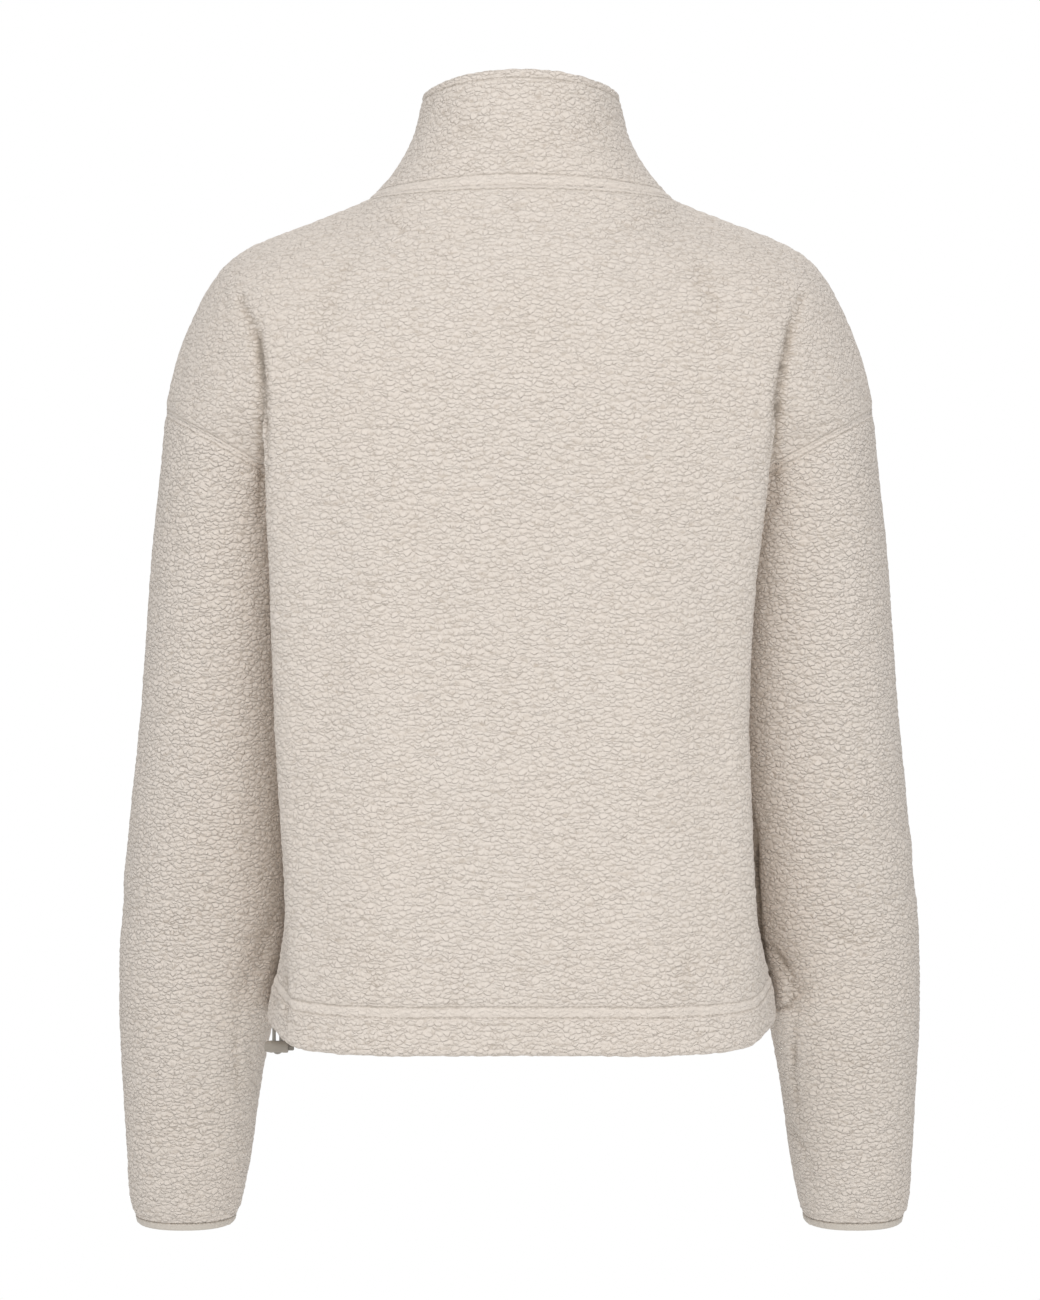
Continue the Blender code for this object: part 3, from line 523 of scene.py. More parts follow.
def shoulder_curve():
    """The shoulder seam of the right half, divided as the sections below it are."""
    first, last = SHOULDER_MARKS[0], SHOULDER_MARKS[-1]
    line = [(x, SHOULDER_END_Y * (x - first) / (last - first), z) for x, z in SHOULDER_LINE]
    dense = smooth(np.array(line)[:, None], [SHOULDER_STEPS] * (len(line) - 1))[:, 0]
    length = np.concatenate([[0], np.cumsum(np.linalg.norm(np.diff(dense, axis=0), axis=1))])
    marks = [np.interp(x, dense[:, 0], length) for x in SHOULDER_MARKS]
    at = between(marks, FINE.half_panel[2:])
    return np.stack([np.interp(at, length, dense[:, k]) for k in range(3)], axis=1)


def section_points(section):
    """The centre and the named points of a torso section's right half."""
    named = (section.neck, section.edge, section.fold, section.arm, section.seam)
    x_neck, y_neck = section.neck
    across, of_centre, of_neck = NEAR_SHARES
    near = (across * x_neck, section.mid_y * of_centre + y_neck * of_neck)
    points = np.array([(0, section.mid_y, 0), (*near, 0), *((*at, 0) for at in named)], float)
    sideways = 1 - np.clip(np.abs(points[:, 1] / section.mid_y), 0, 1)
    lift = np.clip((sideways - RISE_START) / (RISE_END - RISE_START), 0, 1)
    points[:, 2] = section.z + section.rise * lift**2 * (3 - 2 * lift)
    return points


def fan_points(fan, side):
    """The same points of a section above the underarm, which ends at the armhole."""
    end = sleeve_ring(SLEEVE[0], np.array([side * fan.ring]))[0]
    return np.array([(0, *fan.mid), fan.near, fan.neck, fan.edge, fan.fold, fan.arm, end], float)


def with_left_half(half):
    """A row of points from the wearer's left seam to the right one."""
    return np.concatenate([half[:0:-1] * (-1, 1, 1), half])


def armhole_angles(fans):
    """Angles round the armhole at which the back or the front meets the sleeve."""
    return between([f.ring for f in fans] + [180], FINE.shoulder)


def panel_grid(torso, fans, side):
    """Outer points of the back (side 1) or the front (side -1), from the hem and the left up."""
    columns = FINE.half_panel
    both = columns[::-1] + columns
    rows = [section_points(s) for s in torso] + [fan_points(f, side) for f in fans]
    rows = [smooth(with_left_half(r)[:, None], both)[:, 0] for r in rows]
    neck_angles = between([0, 90], [NECK_COLUMNS])
    neck = collar_ring(COLLAR_RINGS[0], neck_angles if side > 0 else 180 - neck_angles)
    rows.append(with_left_half(np.concatenate([neck[:-1], shoulder_curve()])))
    grid = smooth(np.array(rows), FINE.torso + FINE.shoulder)
    armhole = sleeve_ring(SLEEVE[0], side * armhole_angles(fans))
    seam = [section_points(s)[-1] for s in torso] + [armhole[0]]
    seam = smooth(np.array(seam)[:, None], FINE.torso)[:, 0]
    shift = np.concatenate([seam[:-1], armhole]) - grid[:, -1]
    reach = sum(columns[4:])
    fade = np.clip(1 - np.arange(reach) / reach, 0, 1) ** 2
    grid[:, -1:-1 - reach:-1] += shift[:, None] * fade[:, None]
    grid[:, :reach] += (shift * (-1, 1, 1))[:, None] * fade[:, None]
    return grid


def sleeve_grid():
    """Outer points of the right sleeve, armhole first, closed round."""
    back, front = armhole_angles(BACK_SHOULDER), 360 - armhole_angles(FRONT_SHOULDER)
    angles = np.concatenate([back, front[-2:0:-1]])
    return smooth([sleeve_ring(r, angles) for r in SLEEVE], FINE.sleeve)


def collar_grid():
    """Outer points of the collar, seam first, closed round, from the centre back to the right."""
    angles = between([0, 90, 180, 270, 360], [NECK_COLUMNS] * 4)[:-1]
    return smooth([collar_ring(r, angles) for r in COLLAR_RINGS], FINE.collar)


def leaned(points):
    """The points with the body's lean, which fades out across the sleeves."""
    lean = np.interp(points[..., 2], LEAN_Z, LEAN_X)
    across = np.clip((np.abs(points[..., 0]) - LEAN_INSIDE) / (LEAN_OUTSIDE - LEAN_INSIDE), 0, 1)
    moved = points.copy()
    moved[..., 0] += lean * (1 - across**2 * (3 - 2 * across))
    return moved


def fold_depth(points):
    """How far the soft folds push each point inwards."""
    total = np.zeros(points.shape[:-1])
    for fold in FOLDS:
        start, end = np.array(fold.start, float), np.array(fold.end, float)
        run = end - start
        along = ((points - start) @ run) / (run @ run)
        nearest = start + np.clip(along, 0, 1)[..., None] * run
        away = np.linalg.norm(points - nearest, axis=-1) / fold.width
        total += fold.depth * np.exp(-(away**2))
    return total


# Noise in space, in mm

def scattered(i, j, k, salt):
    """A repeatable value from 0 to 1 for each three whole numbers."""
    n = (i * 73856093) ^ (j * 19349663) ^ (k * 83492791) ^ (salt * 6542989)
    n = ((n ^ (n >> 13)) * 1274126177) & 0x7FFFFFFF
    return ((n ^ (n >> 16)) & 4095) / 4095


def drift(points, size, salt):
    """Smooth noise from -1 to 1 with features of about that size."""
    at = points / size
    whole = np.floor(at).astype(np.int64)
    part = at - whole
    part = part * part * (3 - 2 * part)
    total = 0
    for corner in np.ndindex(2, 2, 2):
        share = np.prod(np.where(corner, part, 1 - part), axis=-1)
        total = total + share * scattered(*np.moveaxis(whole + corner, -1, 0), salt)
    return 2 * total - 1


def tufts(points, size, salt):
    """Rounded tufts, from 0 in the furrows between them to about 1 on top."""
    at = points / size
    whole = np.floor(at).astype(np.int64)
    near = np.full(at.shape[:-1], 9.0)
    second = near.copy()
    start, reach = TUFT_MIDDLE
    for step in np.ndindex(3, 3, 3):
        cell = np.moveaxis(whole + step - 1, -1, 0)
        centre = [cell[k] + start + reach * scattered(*cell, salt + k) for k in range(3)]
        away = np.linalg.norm(np.stack(centre, axis=-1) - at, axis=-1)
        second = np.minimum(second, np.maximum(near, away))
        near = np.minimum(near, away)
    furrow = np.clip((second - near) / FURROW, 0, 1)
    return furrow * (2 - furrow) * (TUFT_FLAT + TUFT_ROUND * np.clip(1 - near, 0, 1))


def pile_height(points, salt):
    """Height of the pile, 0 to about 1, from its tufts, their clumps and its lumps."""
    warp = np.stack([drift(points, WANDER_SIZE, salt + k) for k in range(3)], axis=-1)
    moved = points + warp * WANDER
    small = tufts(moved, TUFT, salt + 3)
    clump = tufts(moved, CLUMP, salt + 6)
    lumps = 0.5 + 0.5 * drift(points, LUMP, salt + 9)
    return TUFT_SHARE * small + CLUMP_SHARE * clump + LUMP_SHARE * lumps


def ramp(value, low, high):
    """From 0 at low to 1 at high, eased at both."""
    t = np.clip((value - low) / (high - low), 0, 1)
    return t * t * (3 - 2 * t)


# Grids of cloth

Cloth = namedtuple("Cloth", "points normals closed")


def base_cloth(grid, closed, facing):
    """The smooth outer side of a piece, with the worn cloth's folds."""
    points = leaned(grid)
    normals = grid_normals(points, closed) * facing
    points = points - normals * fold_depth(points)[..., None]
    return Cloth(points, grid_normals(points, closed) * facing, closed)


def share_normals(cloths):
    """Gives the pieces that meet at a seam the same normal there."""
    rims = []
    for k, item in enumerate(cloths):
        rows, columns = item.points.shape[:2]
        places = {(r, c) for r in (0, rows - 1) for c in range(columns)}
        if not item.closed:
            places |= {(r, c) for c in (0, columns - 1) for r in range(rows)}
        rims += [(k, at) for at in sorted(places)]
    tree = KDTree(len(rims))
    for n, (k, at) in enumerate(rims):
        tree.insert(cloths[k].points[at], n)
    tree.balance()
    shared = []
    for k, at in rims:
        sums = {}
        for _, n, _ in tree.find_range(cloths[k].points[at], SEAM_REACH):
            owner, there = rims[n]
            sums[owner] = sums.get(owner, 0) + cloths[owner].normals[there]
        total = sum(unit(s) for _, s in sorted(sums.items()))
        shared.append(unit(total))
    for (k, at), normal in zip(rims, shared):
        cloths[k].normals[at] = normal


def lengths_along(points, axis):
    """How far along the cloth each point is, from the first one."""
    steps = np.linalg.norm(np.diff(points, axis=axis), axis=-1)
    first = np.zeros_like(np.take(steps, [0], axis=axis))
    return np.concatenate([first, np.cumsum(steps, axis=axis)], axis=axis)


def folded_over(points, normals, thick, inside_rows):
    """The rows that go on from row 0 over a folded edge and back inside, with their normals."""
    down = unit(points[0] - points[2])
    middle = points[0] - normals[0] * thick / 2
    rows, facing = [], []
    for turn in np.radians(np.linspace(0, 180, FOLD_STEPS + 1)[1:-1]):
        across, out = math.cos(turn), math.sin(turn)
        rows.append(middle + normals[0] * across * thick / 2 + down * out * thick * FOLDED_EDGE)
        facing.append(unit(normals[0] * across * FOLDED_EDGE + down * out / 2))
    for r in inside_rows:
        rows.append(points[r] - normals[r] * thick)
        facing.append(-normals[r])
    return np.array(rows), np.array(facing)


# Meshes

def corners(grid, wrap=None):
    """The four values round each quad of a grid. wrap is the column after a closed grid's last."""
    if wrap is not None:
        grid = np.concatenate([grid, wrap[:, None]], axis=1)
    around = [grid[:-1, :-1], grid[:-1, 1:], grid[1:, 1:], grid[1:, :-1]]
    return np.stack(around, axis=2).reshape(-1, 4, *grid.shape[2:])


def zipped(one, at_one, other, at_other):
    """Triangles between two lines of vertices, matched by each vertex's place along them."""
    found = []
    i = j = 0
    while i < len(one) - 1 or j < len(other) - 1:
        first = j == len(other) - 1 or (i < len(one) - 1 and at_one[i + 1] <= at_other[j + 1])
        if first:
            found.append((one[i], one[i + 1], other[j]))
            i += 1
        else:
            found.append((one[i], other[j + 1], other[j]))
            j += 1
    return found


def linked(name, data):
    """An object of that data in the scene."""
    made = bpy.data.objects.new(name, data)
    bpy.context.scene.collection.objects.link(made)
    return made


def finished(name, data):
    """An object of that mesh, smooth, with its faces turned outwards."""
    mesh = bmesh.new()
    mesh.from_mesh(data)
    bmesh.ops.recalc_face_normals(mesh, faces=mesh.faces)
    mesh.to_mesh(data)
    mesh.free()
    data.shade_smooth()
    return linked(name, data)


def new_mesh(name, points, quads, triangles, inside_from, attributes, materials):
    """An object from its points in mm. Those from inside_from on make its inside."""
    quads = np.asarray(quads, np.int64).reshape(-1, 4)
    triangles = np.asarray(triangles, np.int64).reshape(-1, 3)
    loops = np.concatenate([quads.ravel(), triangles.ravel()])
    sizes = np.concatenate([np.full(len(quads), 4), np.full(len(triangles), 3)])
    starts = np.concatenate([[0], np.cumsum(sizes)[:-1]])
    data = bpy.data.meshes.new(name)
    data.vertices.add(len(points))
    data.vertices.foreach_set("co", (points * MM).astype(np.float32).ravel())
    data.loops.add(len(loops))
    data.loops.foreach_set("vertex_index", loops.astype(np.int32))
    data.polygons.add(len(sizes))
    data.polygons.foreach_set("loop_start", starts.astype(np.int32))
    data.update(calc_edges=True)
    for key, values in attributes.items():
        made = data.attributes.new(key, "FLOAT", "POINT")
        made.data.foreach_set("value", values.astype(np.float32).ravel())
    for one in materials:
        data.materials.append(one)
    if len(materials) > 1:
        deepest = np.concatenate([quads.min(axis=1), triangles.min(axis=1)])
        data.polygons.foreach_set("material_index", (deepest >= inside_from).astype(np.int32))
    return finished(name, data)


def numbered(shape, first=0):
    """The numbers of a grid's points, which are counted on from the first one."""
    return first + np.arange(shape[0] * shape[1]).reshape(shape[:2])


def every_few(first, count):
    """Every few numbers from the first one, and the last."""
    return np.unique(np.append(np.arange(first, count, INSIDE_STEP), count - 1))


def lined(name, up, inner, quads, triangles, seam, full, cells, **others):
    """A piece with pile outside and a plain inside."""
    spare = inner[..., 0].size
    attributes = {
        "seam": np.concatenate([seam.ravel(), np.full(spare, NO_SEAM_INSIDE)]),
        "nap": np.concatenate([full.ravel(), np.zeros(spare)]),
        "relief_shade": np.concatenate([cells.ravel(), np.full(spare, 0.5)]),
    }
    for key, value in others.items():
        attributes[key] = np.full(cells.size + spare, value)
    points = np.concatenate([up.reshape(-1, 3), inner.reshape(-1, 3)])
    return new_mesh(name + "_fleece", points, quads, triangles, cells.size, attributes,
                    [MATERIALS["fleece"], MATERIALS["fleece_back"]])


# The pile's height and the seams' lines on each piece

def crease_depth(points, creases):
    """How deep those creases are at each point."""
    total = np.zeros(points.shape[:-1])
    uneven = 1 + CREASE_VARIES * drift(points, CREASE_SIZE, CREASE_SALT)
    for crease in creases:
        line = np.array(crease.line, float)
        runs = np.diff(line, axis=0)
        lengths = np.linalg.norm(runs, axis=1)
        passed = np.concatenate([[0], np.cumsum(lengths)])
        away = np.full(total.shape, 99.0)
        place = np.zeros(total.shape)
        for start, run, length, before in zip(line, runs, lengths, passed):
            offset = points[..., ::2] - start
            along = np.clip((offset @ run) / length ** 2, 0, 1)
            distance = np.linalg.norm(offset - along[..., None] * run, axis=-1)
            nearer = distance < away
            away = np.where(nearer, distance, away)
            place = np.where(nearer, before + along * length, place)
        end = np.minimum(place, passed[-1] - place) / passed[-1]
        left = CREASE_END + (1 - CREASE_END) * ramp(end, 0.0, CREASE_TAPER)
        total += crease.depth * left * uneven * np.exp(-((away / crease.width) ** 2))
    return total


def raised(points, normals, seam, edge, flat, salt):
    """The points with the pile on them, its height less the creases' painted shade, and how full it
    is.

    seam is the distance to the nearest stitch line, edge the distance to the nearest cut edge, and
    flat is 1 where the pile is pressed down.
    """
    full = (1 - PRESSED * flat) * (1 - BESIDE_LINE * np.exp(-((seam / BESIDE_WIDTH) ** 2)))
    cells = pile_height(points, salt)
    standing = full * (PILE_BASE - PILE_EDGE + PILE_TUFTS * cells)
    height = PILE_EDGE + standing * (1 - np.exp(-((edge / EDGE_WIDTH) ** 2)))
    height = height - LINE_DEPTH * np.exp(-((seam / LINE_WIDTH) ** 2))
    folds = crease_depth(points, CREASES) * ramp(-normals[..., 1], *CREASE_FACING)
    folds = folds + crease_depth(points, FRONT_CREASES) * ramp(normals[..., 1], *CREASE_FACING)
    return points + normals * (height - folds)[..., None], cells - FOLD_SHADE * folds, full


def rippled(ripple, points, along, across, edge, salt):
    """Height of the waves that run along the cloth and fade out across it and at an edge."""
    turn = along / ripple.wave + ripple.wander * drift(points, ripple.size, salt)
    near = np.exp(-(((across - ripple.middle) / ripple.spread) ** 2))
    return (ripple.height * np.sin(turn) * near * ramp(edge, 0, ripple.fade))[..., None]


def dress_panel(name, item, salt):
    """The back or the front: outer side, turned-up hem and plain inside."""
    points, normals = item.points, item.normals
    rows, columns = points.shape[:2]
    middle = columns // 2
    casing = int(np.searchsorted(lengths_along(points, 0)[:, middle], CASING))
    inside_rows = list(range(0, casing, HEM_STEP)) + [casing]
    under, facing = folded_over(points, normals, HEM, inside_rows)
    first = len(under)
    points = np.concatenate([under[::-1], points])
    normals = np.concatenate([facing[::-1], normals])
    # Distances across from the centre line, up from the hem and to the panel's edges
    u = lengths_along(points, 1)
    u = u - u[:, middle:middle + 1]
    v = lengths_along(points, 0)
    v = v - v[first]
    sideways = np.minimum(u - u[:, :1], u[:, -1:] - u)
    down = v[-1] - v
    edge = np.minimum(sideways, down)
    # The stitch lines beside the armholes and the neck, and the two along the hem
    row = np.arange(len(points))[:, None] - first
    column = np.abs(np.arange(columns) - middle)[None]
    underarm = sum(FINE.torso)
    armhole = ramp(row - underarm, *ARMHOLE_LINE_START)
    neck = 1 - ramp(column - NECK_COLUMNS, *NECK_LINE_END)
    seam = np.minimum(sideways - ARMHOLE_LINE * armhole, down - NECK_LINE_BODY * neck)
    lower, upper = HEM_LINES
    hem = (v - lower) * (v - upper) / (upper - lower)
    seam = np.minimum(seam, np.where(v > 0, hem, NO_SEAM))
    flat = ramp(-seam, *PRESS_RAMP)
    up, cells, full = raised(points, normals, seam, edge, flat, salt)
    up = up + normals * rippled(HEM_PUCKERS, points, u, v, edge, salt)
    # The plain inside, joined to the outer side along every edge
    near_rows, near_columns = every_few(casing, rows), every_few(0, columns)
    inner = (item.points - item.normals * CLOTH)[near_rows][:, near_columns]
    ids = numbered(points.shape)
    inner_ids = numbered(inner.shape, ids.size)
    every = np.arange(columns)
    triangles = zipped(ids[0], every, inner_ids[0], near_columns)
    triangles += zipped(ids[-1], every, inner_ids[-1], near_columns)
    bottom = len(inside_rows) + (first - len(inside_rows)) // 2
    for c in (0, -1):
        outer_line = ids[bottom:, c]
        inner_line = np.concatenate([ids[:bottom + 1, c][::-1], inner_ids[:, c]])
        at_outer = np.concatenate([np.linspace(*FOLD_PLACES, first - bottom), np.arange(rows)])
        folded = np.linspace(*FOLD_PLACES, bottom + 1 - len(inside_rows))
        at_inner = np.concatenate([folded, inside_rows, near_rows])
        triangles.append((outer_line[0], outer_line[1], inner_line[1]))
        triangles += zipped(outer_line[1:], at_outer[1:], inner_line[1:], at_inner[1:])
    quads = np.concatenate([corners(ids), corners(inner_ids)])
    made = lined(name, up, inner, quads, triangles, seam, full, cells)
    # Where the thread runs
    outer = slice(first, None)
    by_neck = (outer, slice(middle - NECK_COLUMNS, middle + NECK_COLUMNS + 1))
    by_armhole = slice(first + underarm, None)
    lines = [line_on(up, normals, outer, v, at, 0) for at in HEM_LINES]
    lines.append(line_on(up, normals, by_neck, -down, -NECK_LINE_BODY, 0))
    lines.append(line_on(up, normals, by_armhole, u - u[:, :1], ARMHOLE_LINE, 1))
    lines.append(line_on(up, normals, by_armhole, u - u[:, -1:], -ARMHOLE_LINE, 1))
    return made, lines


def dress_sleeve(name, item, salt):
    """A sleeve: outer side and plain inside."""
    points, normals = item.points, item.normals
    rows, columns = points.shape[:2]
    round_all = lengths_along(np.concatenate([points, points[:, :1]], axis=1), 1)
    u = round_all[:, :-1]
    v = lengths_along(points, 0)
    end = v[-1] - v
    edge = np.minimum(v, end)
    # The stitch line beside the armhole, the seam under the arm and the line above the cuff
    under_arm = np.minimum(u, round_all[:, -1:] - u)
    seam = np.minimum(v - ARMHOLE_LINE, under_arm)
    seam = np.minimum(seam, np.abs(end - CUFF_LINE))
    flat = np.maximum(ramp(ARMHOLE_LINE - v, *PRESS_RAMP),
                      SLEEVE_SEAM_PRESS * ramp(-under_arm, *SLEEVE_SEAM_RAMP))
    up, cells, full = raised(points, normals, seam, edge, flat, salt)
    up = up + normals * rippled(CUFF_GATHERS, points, u, end, end, salt)
    near_rows, near_columns = every_few(0, rows), np.arange(0, columns, INSIDE_STEP)
    inner = (points - normals * CLOTH)[near_rows][:, near_columns]
    ids = numbered(points.shape)
    inner_ids = numbered(inner.shape, ids.size)
    every, every_near = np.arange(columns + 1), np.append(near_columns, columns)
    triangles = []
    for r in (0, -1):
        triangles += zipped(np.append(ids[r], ids[r, 0]), every,
                            np.append(inner_ids[r], inner_ids[r, 0]), every_near)
    quads = np.concatenate([corners(ids, ids[:, 0]), corners(inner_ids, inner_ids[:, 0])])
    made = lined(name, up, inner, quads, triangles, seam, full, cells, loose=1.0)
    return made, [line_on(up, normals, slice(None), v, ARMHOLE_LINE, 0, True)]


def closed_quads(ids):
    """The quads of a grid that is closed round and whose last row meets its first."""
    return np.concatenate([corners(ids, ids[:, 0]), corners(ids[[-1, 0]], ids[[-1, 0], 0])])


def dress_collar(item, salt):
    """The collar: its outer side, the fold along its top and its inner side, all in pile."""
    half_round = item.points.shape[1] // 2
    points, normals = (np.roll(a, half_round, axis=1) for a in (item.points, item.normals))
    rows = len(points)
    over, facing = folded_over(points[::-1], normals[::-1], COLLAR, list(range(rows)))
    points = np.concatenate([points, over])
    normals = np.concatenate([normals, facing])
    v = lengths_along(points, 0)
    top = v[rows - 1] + (v[rows + FOLD_STEPS - 1] - v[rows - 1]) / 2
    end = v[-1] - v
    seam = np.minimum(v - NECK_LINE_COLLAR, np.abs(top - v) - COLLAR_TOP_LINE)
    seam = np.minimum(seam, end - NECK_LINE_COLLAR)
    flat = np.maximum(*(ramp(NECK_LINE_COLLAR - a, *COLLAR_PRESS_RAMP) for a in (v, end)))
    up, cells, full = raised(points, normals, seam, np.minimum(v, end), flat, salt)
    ids = numbered(points.shape)
    attributes = {"seam": seam.ravel(), "nap": full.ravel(), "relief_shade": cells.ravel()}
    made = new_mesh("collar_fleece", up.reshape(-1, 3), closed_quads(ids), [], ids.size, attributes,
                    [MATERIALS["fleece"]])
    outer = slice(0, rows)
    lines = [line_on(up, normals, outer, v, NECK_LINE_COLLAR, 0, True)]
    lines.append(line_on(up, normals, outer, v - top, -COLLAR_TOP_LINE, 0, True))
    return made, lines


# Stitches

def line_on(points, normals, part, field, value, axis, closed=False):
    """The line on a part of the cloth where a field that rises along the axis has the value."""
    places = np.concatenate([points, normals], axis=-1)[part]
    field = field[part]
    if axis == 1:
        places, field = np.swapaxes(places, 0, 1), field.T
    found = []
    for c in range(field.shape[1]):
        found.append([np.interp(value, field[:, c], places[:, c, k]) for k in range(6)])
    if closed:
        found.append(found[0])
    return np.array(found)


def stitches(name, lines, thread):
    """Rows of short stitches, each a bent thread that dives into the cloth at both ends."""
    turns = np.arange(THREAD_SIDES)[:, None] * 2 * math.pi / THREAD_SIDES
    lift = np.array(STITCH_LIFT) + THREAD_SINK
    radius = THREAD_RADIUS * np.array(STITCH_SWELL)[:, None, None]
    along = np.linspace(0, 1, len(lift))
    rings = numbered((len(lift), THREAD_SIDES))
    faces = np.concatenate([corners(rings, rings[:, 0]), rings[[0, -1]]])
    verts, quads = [], []
    for line in lines:
        length = lengths_along(line[:, :3], 0)
        count = int(length[-1] // STITCH_PITCH)
        for n in range(count):
            start = (n + 0.5) * length[-1] / count
            at = start + along * STITCH_LENGTH
            place = np.stack([np.interp(at, length, line[:, k]) for k in range(6)], axis=1)
            normal = unit(place[:, 3:])
            side = unit(np.cross(normal, unit(place[-1, :3] - place[0, :3])))
            centre = place[:, :3] + normal * lift[:, None]
            around = np.cos(turns) * side[:, None] + np.sin(turns) * normal[:, None]
            quads.append(faces + len(verts) * rings.size)
            verts.append((centre[:, None] + radius * around).reshape(-1, 3))
    data = bpy.data.meshes.new(name)
    data.from_pydata((np.concatenate(verts) * MM).tolist(), [], np.concatenate(quads).tolist())
    data.materials.append(thread)
    return finished(name, data)


# Bindings of the cuffs

def dress_binding(name, side):
    """A folded elastic strip round the sleeve's end, drawn in by fine gathers."""
    angles = np.arange(BINDING_SIDES) * 360 / BINDING_SIDES
    top = sleeve_ring(BINDING_TOP, angles)
    centre = np.array((BINDING_TOP.x, BINDING_TOP.y, BINDING_TOP.z))
    out = unit((top - centre) * (1, 1, 0))
    # Round the strip's section: how far inwards and how far down
    outline = [(BINDING_THICK, 0.0), (BINDING_THICK, BINDING_DEPTH * BINDING_FOLD)]
    for turn in np.radians(np.linspace(0, 180, 11)):
        across = BINDING_THICK / 2 * math.cos(turn)
        outline.append((BINDING_THICK / 2 + across * (1 + BINDING_ROUND * math.sin(turn)),
                        BINDING_DEPTH * (BINDING_FOLD + (1 - BINDING_FOLD) * math.sin(turn))))
    outline += [(-BINDING_SWELL * 0.6, BINDING_DEPTH * 0.3),
                (-BINDING_SWELL * 0.3, BINDING_DEPTH * 0.12), (0.3, 0.0)]
    turn = np.radians(angles)
    (high, many, sway), (low, few, phase) = BINDING_RIPPLES
    ripple = high * np.sin(many * turn + sway * np.sin(3 * turn)) + low * np.sin(few * turn + phase)
    past = angles - BINDING_JOIN
    join = sum(high * np.exp(-((past - at) / width) ** 2) for high, at, width in JOIN_STEPS)
    rows = []
    for inwards, lower in outline:
        push = (ripple + join) * ramp(BINDING_THICK / 2 - inwards, -1, 1)
        rows.append(top - out * (inwards - push)[:, None] + np.array((0, 0, -lower)))
    points = np.array(rows) * (side, 1, 1)
    ids = numbered(points.shape)
    made = new_mesh(name + "_strip", points.reshape(-1, 3), closed_quads(ids), [], ids.size, {},
                    [MATERIALS["binding"]])
    facing = unit((points[-2] - centre * (side, 1, 1)) * (1, 1, 0))
    line = np.concatenate([points[-2], facing], axis=1)
    return made, [np.concatenate([line, line[:1]])]


# The drawcord's loop

def dress_cord():
    """Both strands from the hem, through the lock and round below it."""
    turn = CORD_SPACING / 2
    middle = CORD_X + turn
    bend = [(middle - turn * math.cos(a), LOOP_Z - turn * math.sin(a))
            for a in np.linspace(0, math.pi, 17)]
    top, foot = CORD_TOP_Z, LOCK_Z + 2.0
    route = [(CORD_X, top + (foot - top) * k / 4) for k in range(5)] + bend
    route += [(CORD_X + CORD_SPACING, foot + (top - foot) * k / 4) for k in range(5)]
    curve = bpy.data.curves.new("cord_loop", "CURVE")
    curve.dimensions = "3D"
    curve.bevel_depth = CORD_RADIUS * MM
    curve.bevel_resolution = 6
    curve.use_fill_caps = True
    spline = curve.splines.new("POLY")
    spline.points.add(len(route) - 1)
    for point, (x, z) in zip(spline.points, route):
        point.co = (x * MM, CORD_Y * MM, z * MM, 1)
    spline.use_smooth = True
    curve.materials.append(MATERIALS["cord"])
    made = linked("cord_loop", curve)
    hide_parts("drawcord")
    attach(made, "garment")


# Materials

class Nodes:
    """Adds nodes to a material and joins them."""

    def __init__(self, name):
        self.material = bpy.data.materials.new(name)
        self.material.use_nodes = True
        self.tree = self.material.node_tree
        self.shader = self.tree.nodes["Principled BSDF"]
        self.place = self.add("TexCoord").outputs["Object"]

    def put(self, socket, value):
        """Joins another node's output to the socket, or sets the socket's own value."""
        if isinstance(value, bpy.types.NodeSocket):
            self.tree.links.new(value, socket)
        else:
            socket.default_value = value

    def add(self, kind, inputs=(), **settings):
        node = self.tree.nodes.new("ShaderNode" + kind)
        for key, value in settings.items():
            setattr(node, key, value)
        for key, value in dict(inputs).items():
            self.put(node.inputs[key], value)
        return node

    def math(self, operation, *values):
        return self.add("Math", dict(enumerate(values)), operation=operation).outputs[0]

    def less(self, one, other):
        return self.math("SUBTRACT", one, other)

    def times(self, one, other, plus=None):
        """The product of two values, with a third one added where it is given."""
        if plus is None:
            return self.math("MULTIPLY", one, other)
        return self.math("MULTIPLY_ADD", one, other, plus)

    def vector(self, operation, *values):
        return self.add("VectorMath", dict(enumerate(values)), operation=operation).outputs[0]

    def remap(self, value, low, high, to_low=0.0, to_high=1.0):
        """The value from low to high, eased and spread over a new range."""
        inputs = dict(enumerate((value, low, high, to_low, to_high)))
        return self.add("MapRange", inputs, interpolation_type="SMOOTHSTEP").outputs[0]

    def blend(self, amount, one, other):
        return self.add("Mix", {0: amount, 6: one, 7: other}, data_type="RGBA").outputs[2]

    def attribute(self, name):
        return self.add("Attribute", attribute_name=name).outputs["Fac"]

    def noise(self, scale, detail, roughness=0.5, at=None, output="Fac"):
        inputs = {"Vector": at or self.place, "Scale": scale, "Detail": detail,
                  "Roughness": roughness}
        return self.add("TexNoise", inputs).outputs[output]

    def bands(self, scale, along, at=None, **inputs):
        """Waves across the axis that is named."""
        inputs = {"Vector": at or self.place, "Scale": scale, **inputs}
        return self.add("TexWave", inputs, bands_direction=along).outputs["Fac"]

    def bump(self, height, distance, strength):
        inputs = {"Height": height, "Distance": distance, "Strength": strength}
        return self.add("Bump", inputs).outputs[0]

    def finish(self, **values):
        """The material, with those values of its shader."""
        for key, value in values.items():
            self.put(self.shader.inputs[key.replace("_", " ")], value)
        return self.material


def rgba(colour, times=1.0):
    return (*[c * times for c in colour], 1.0)


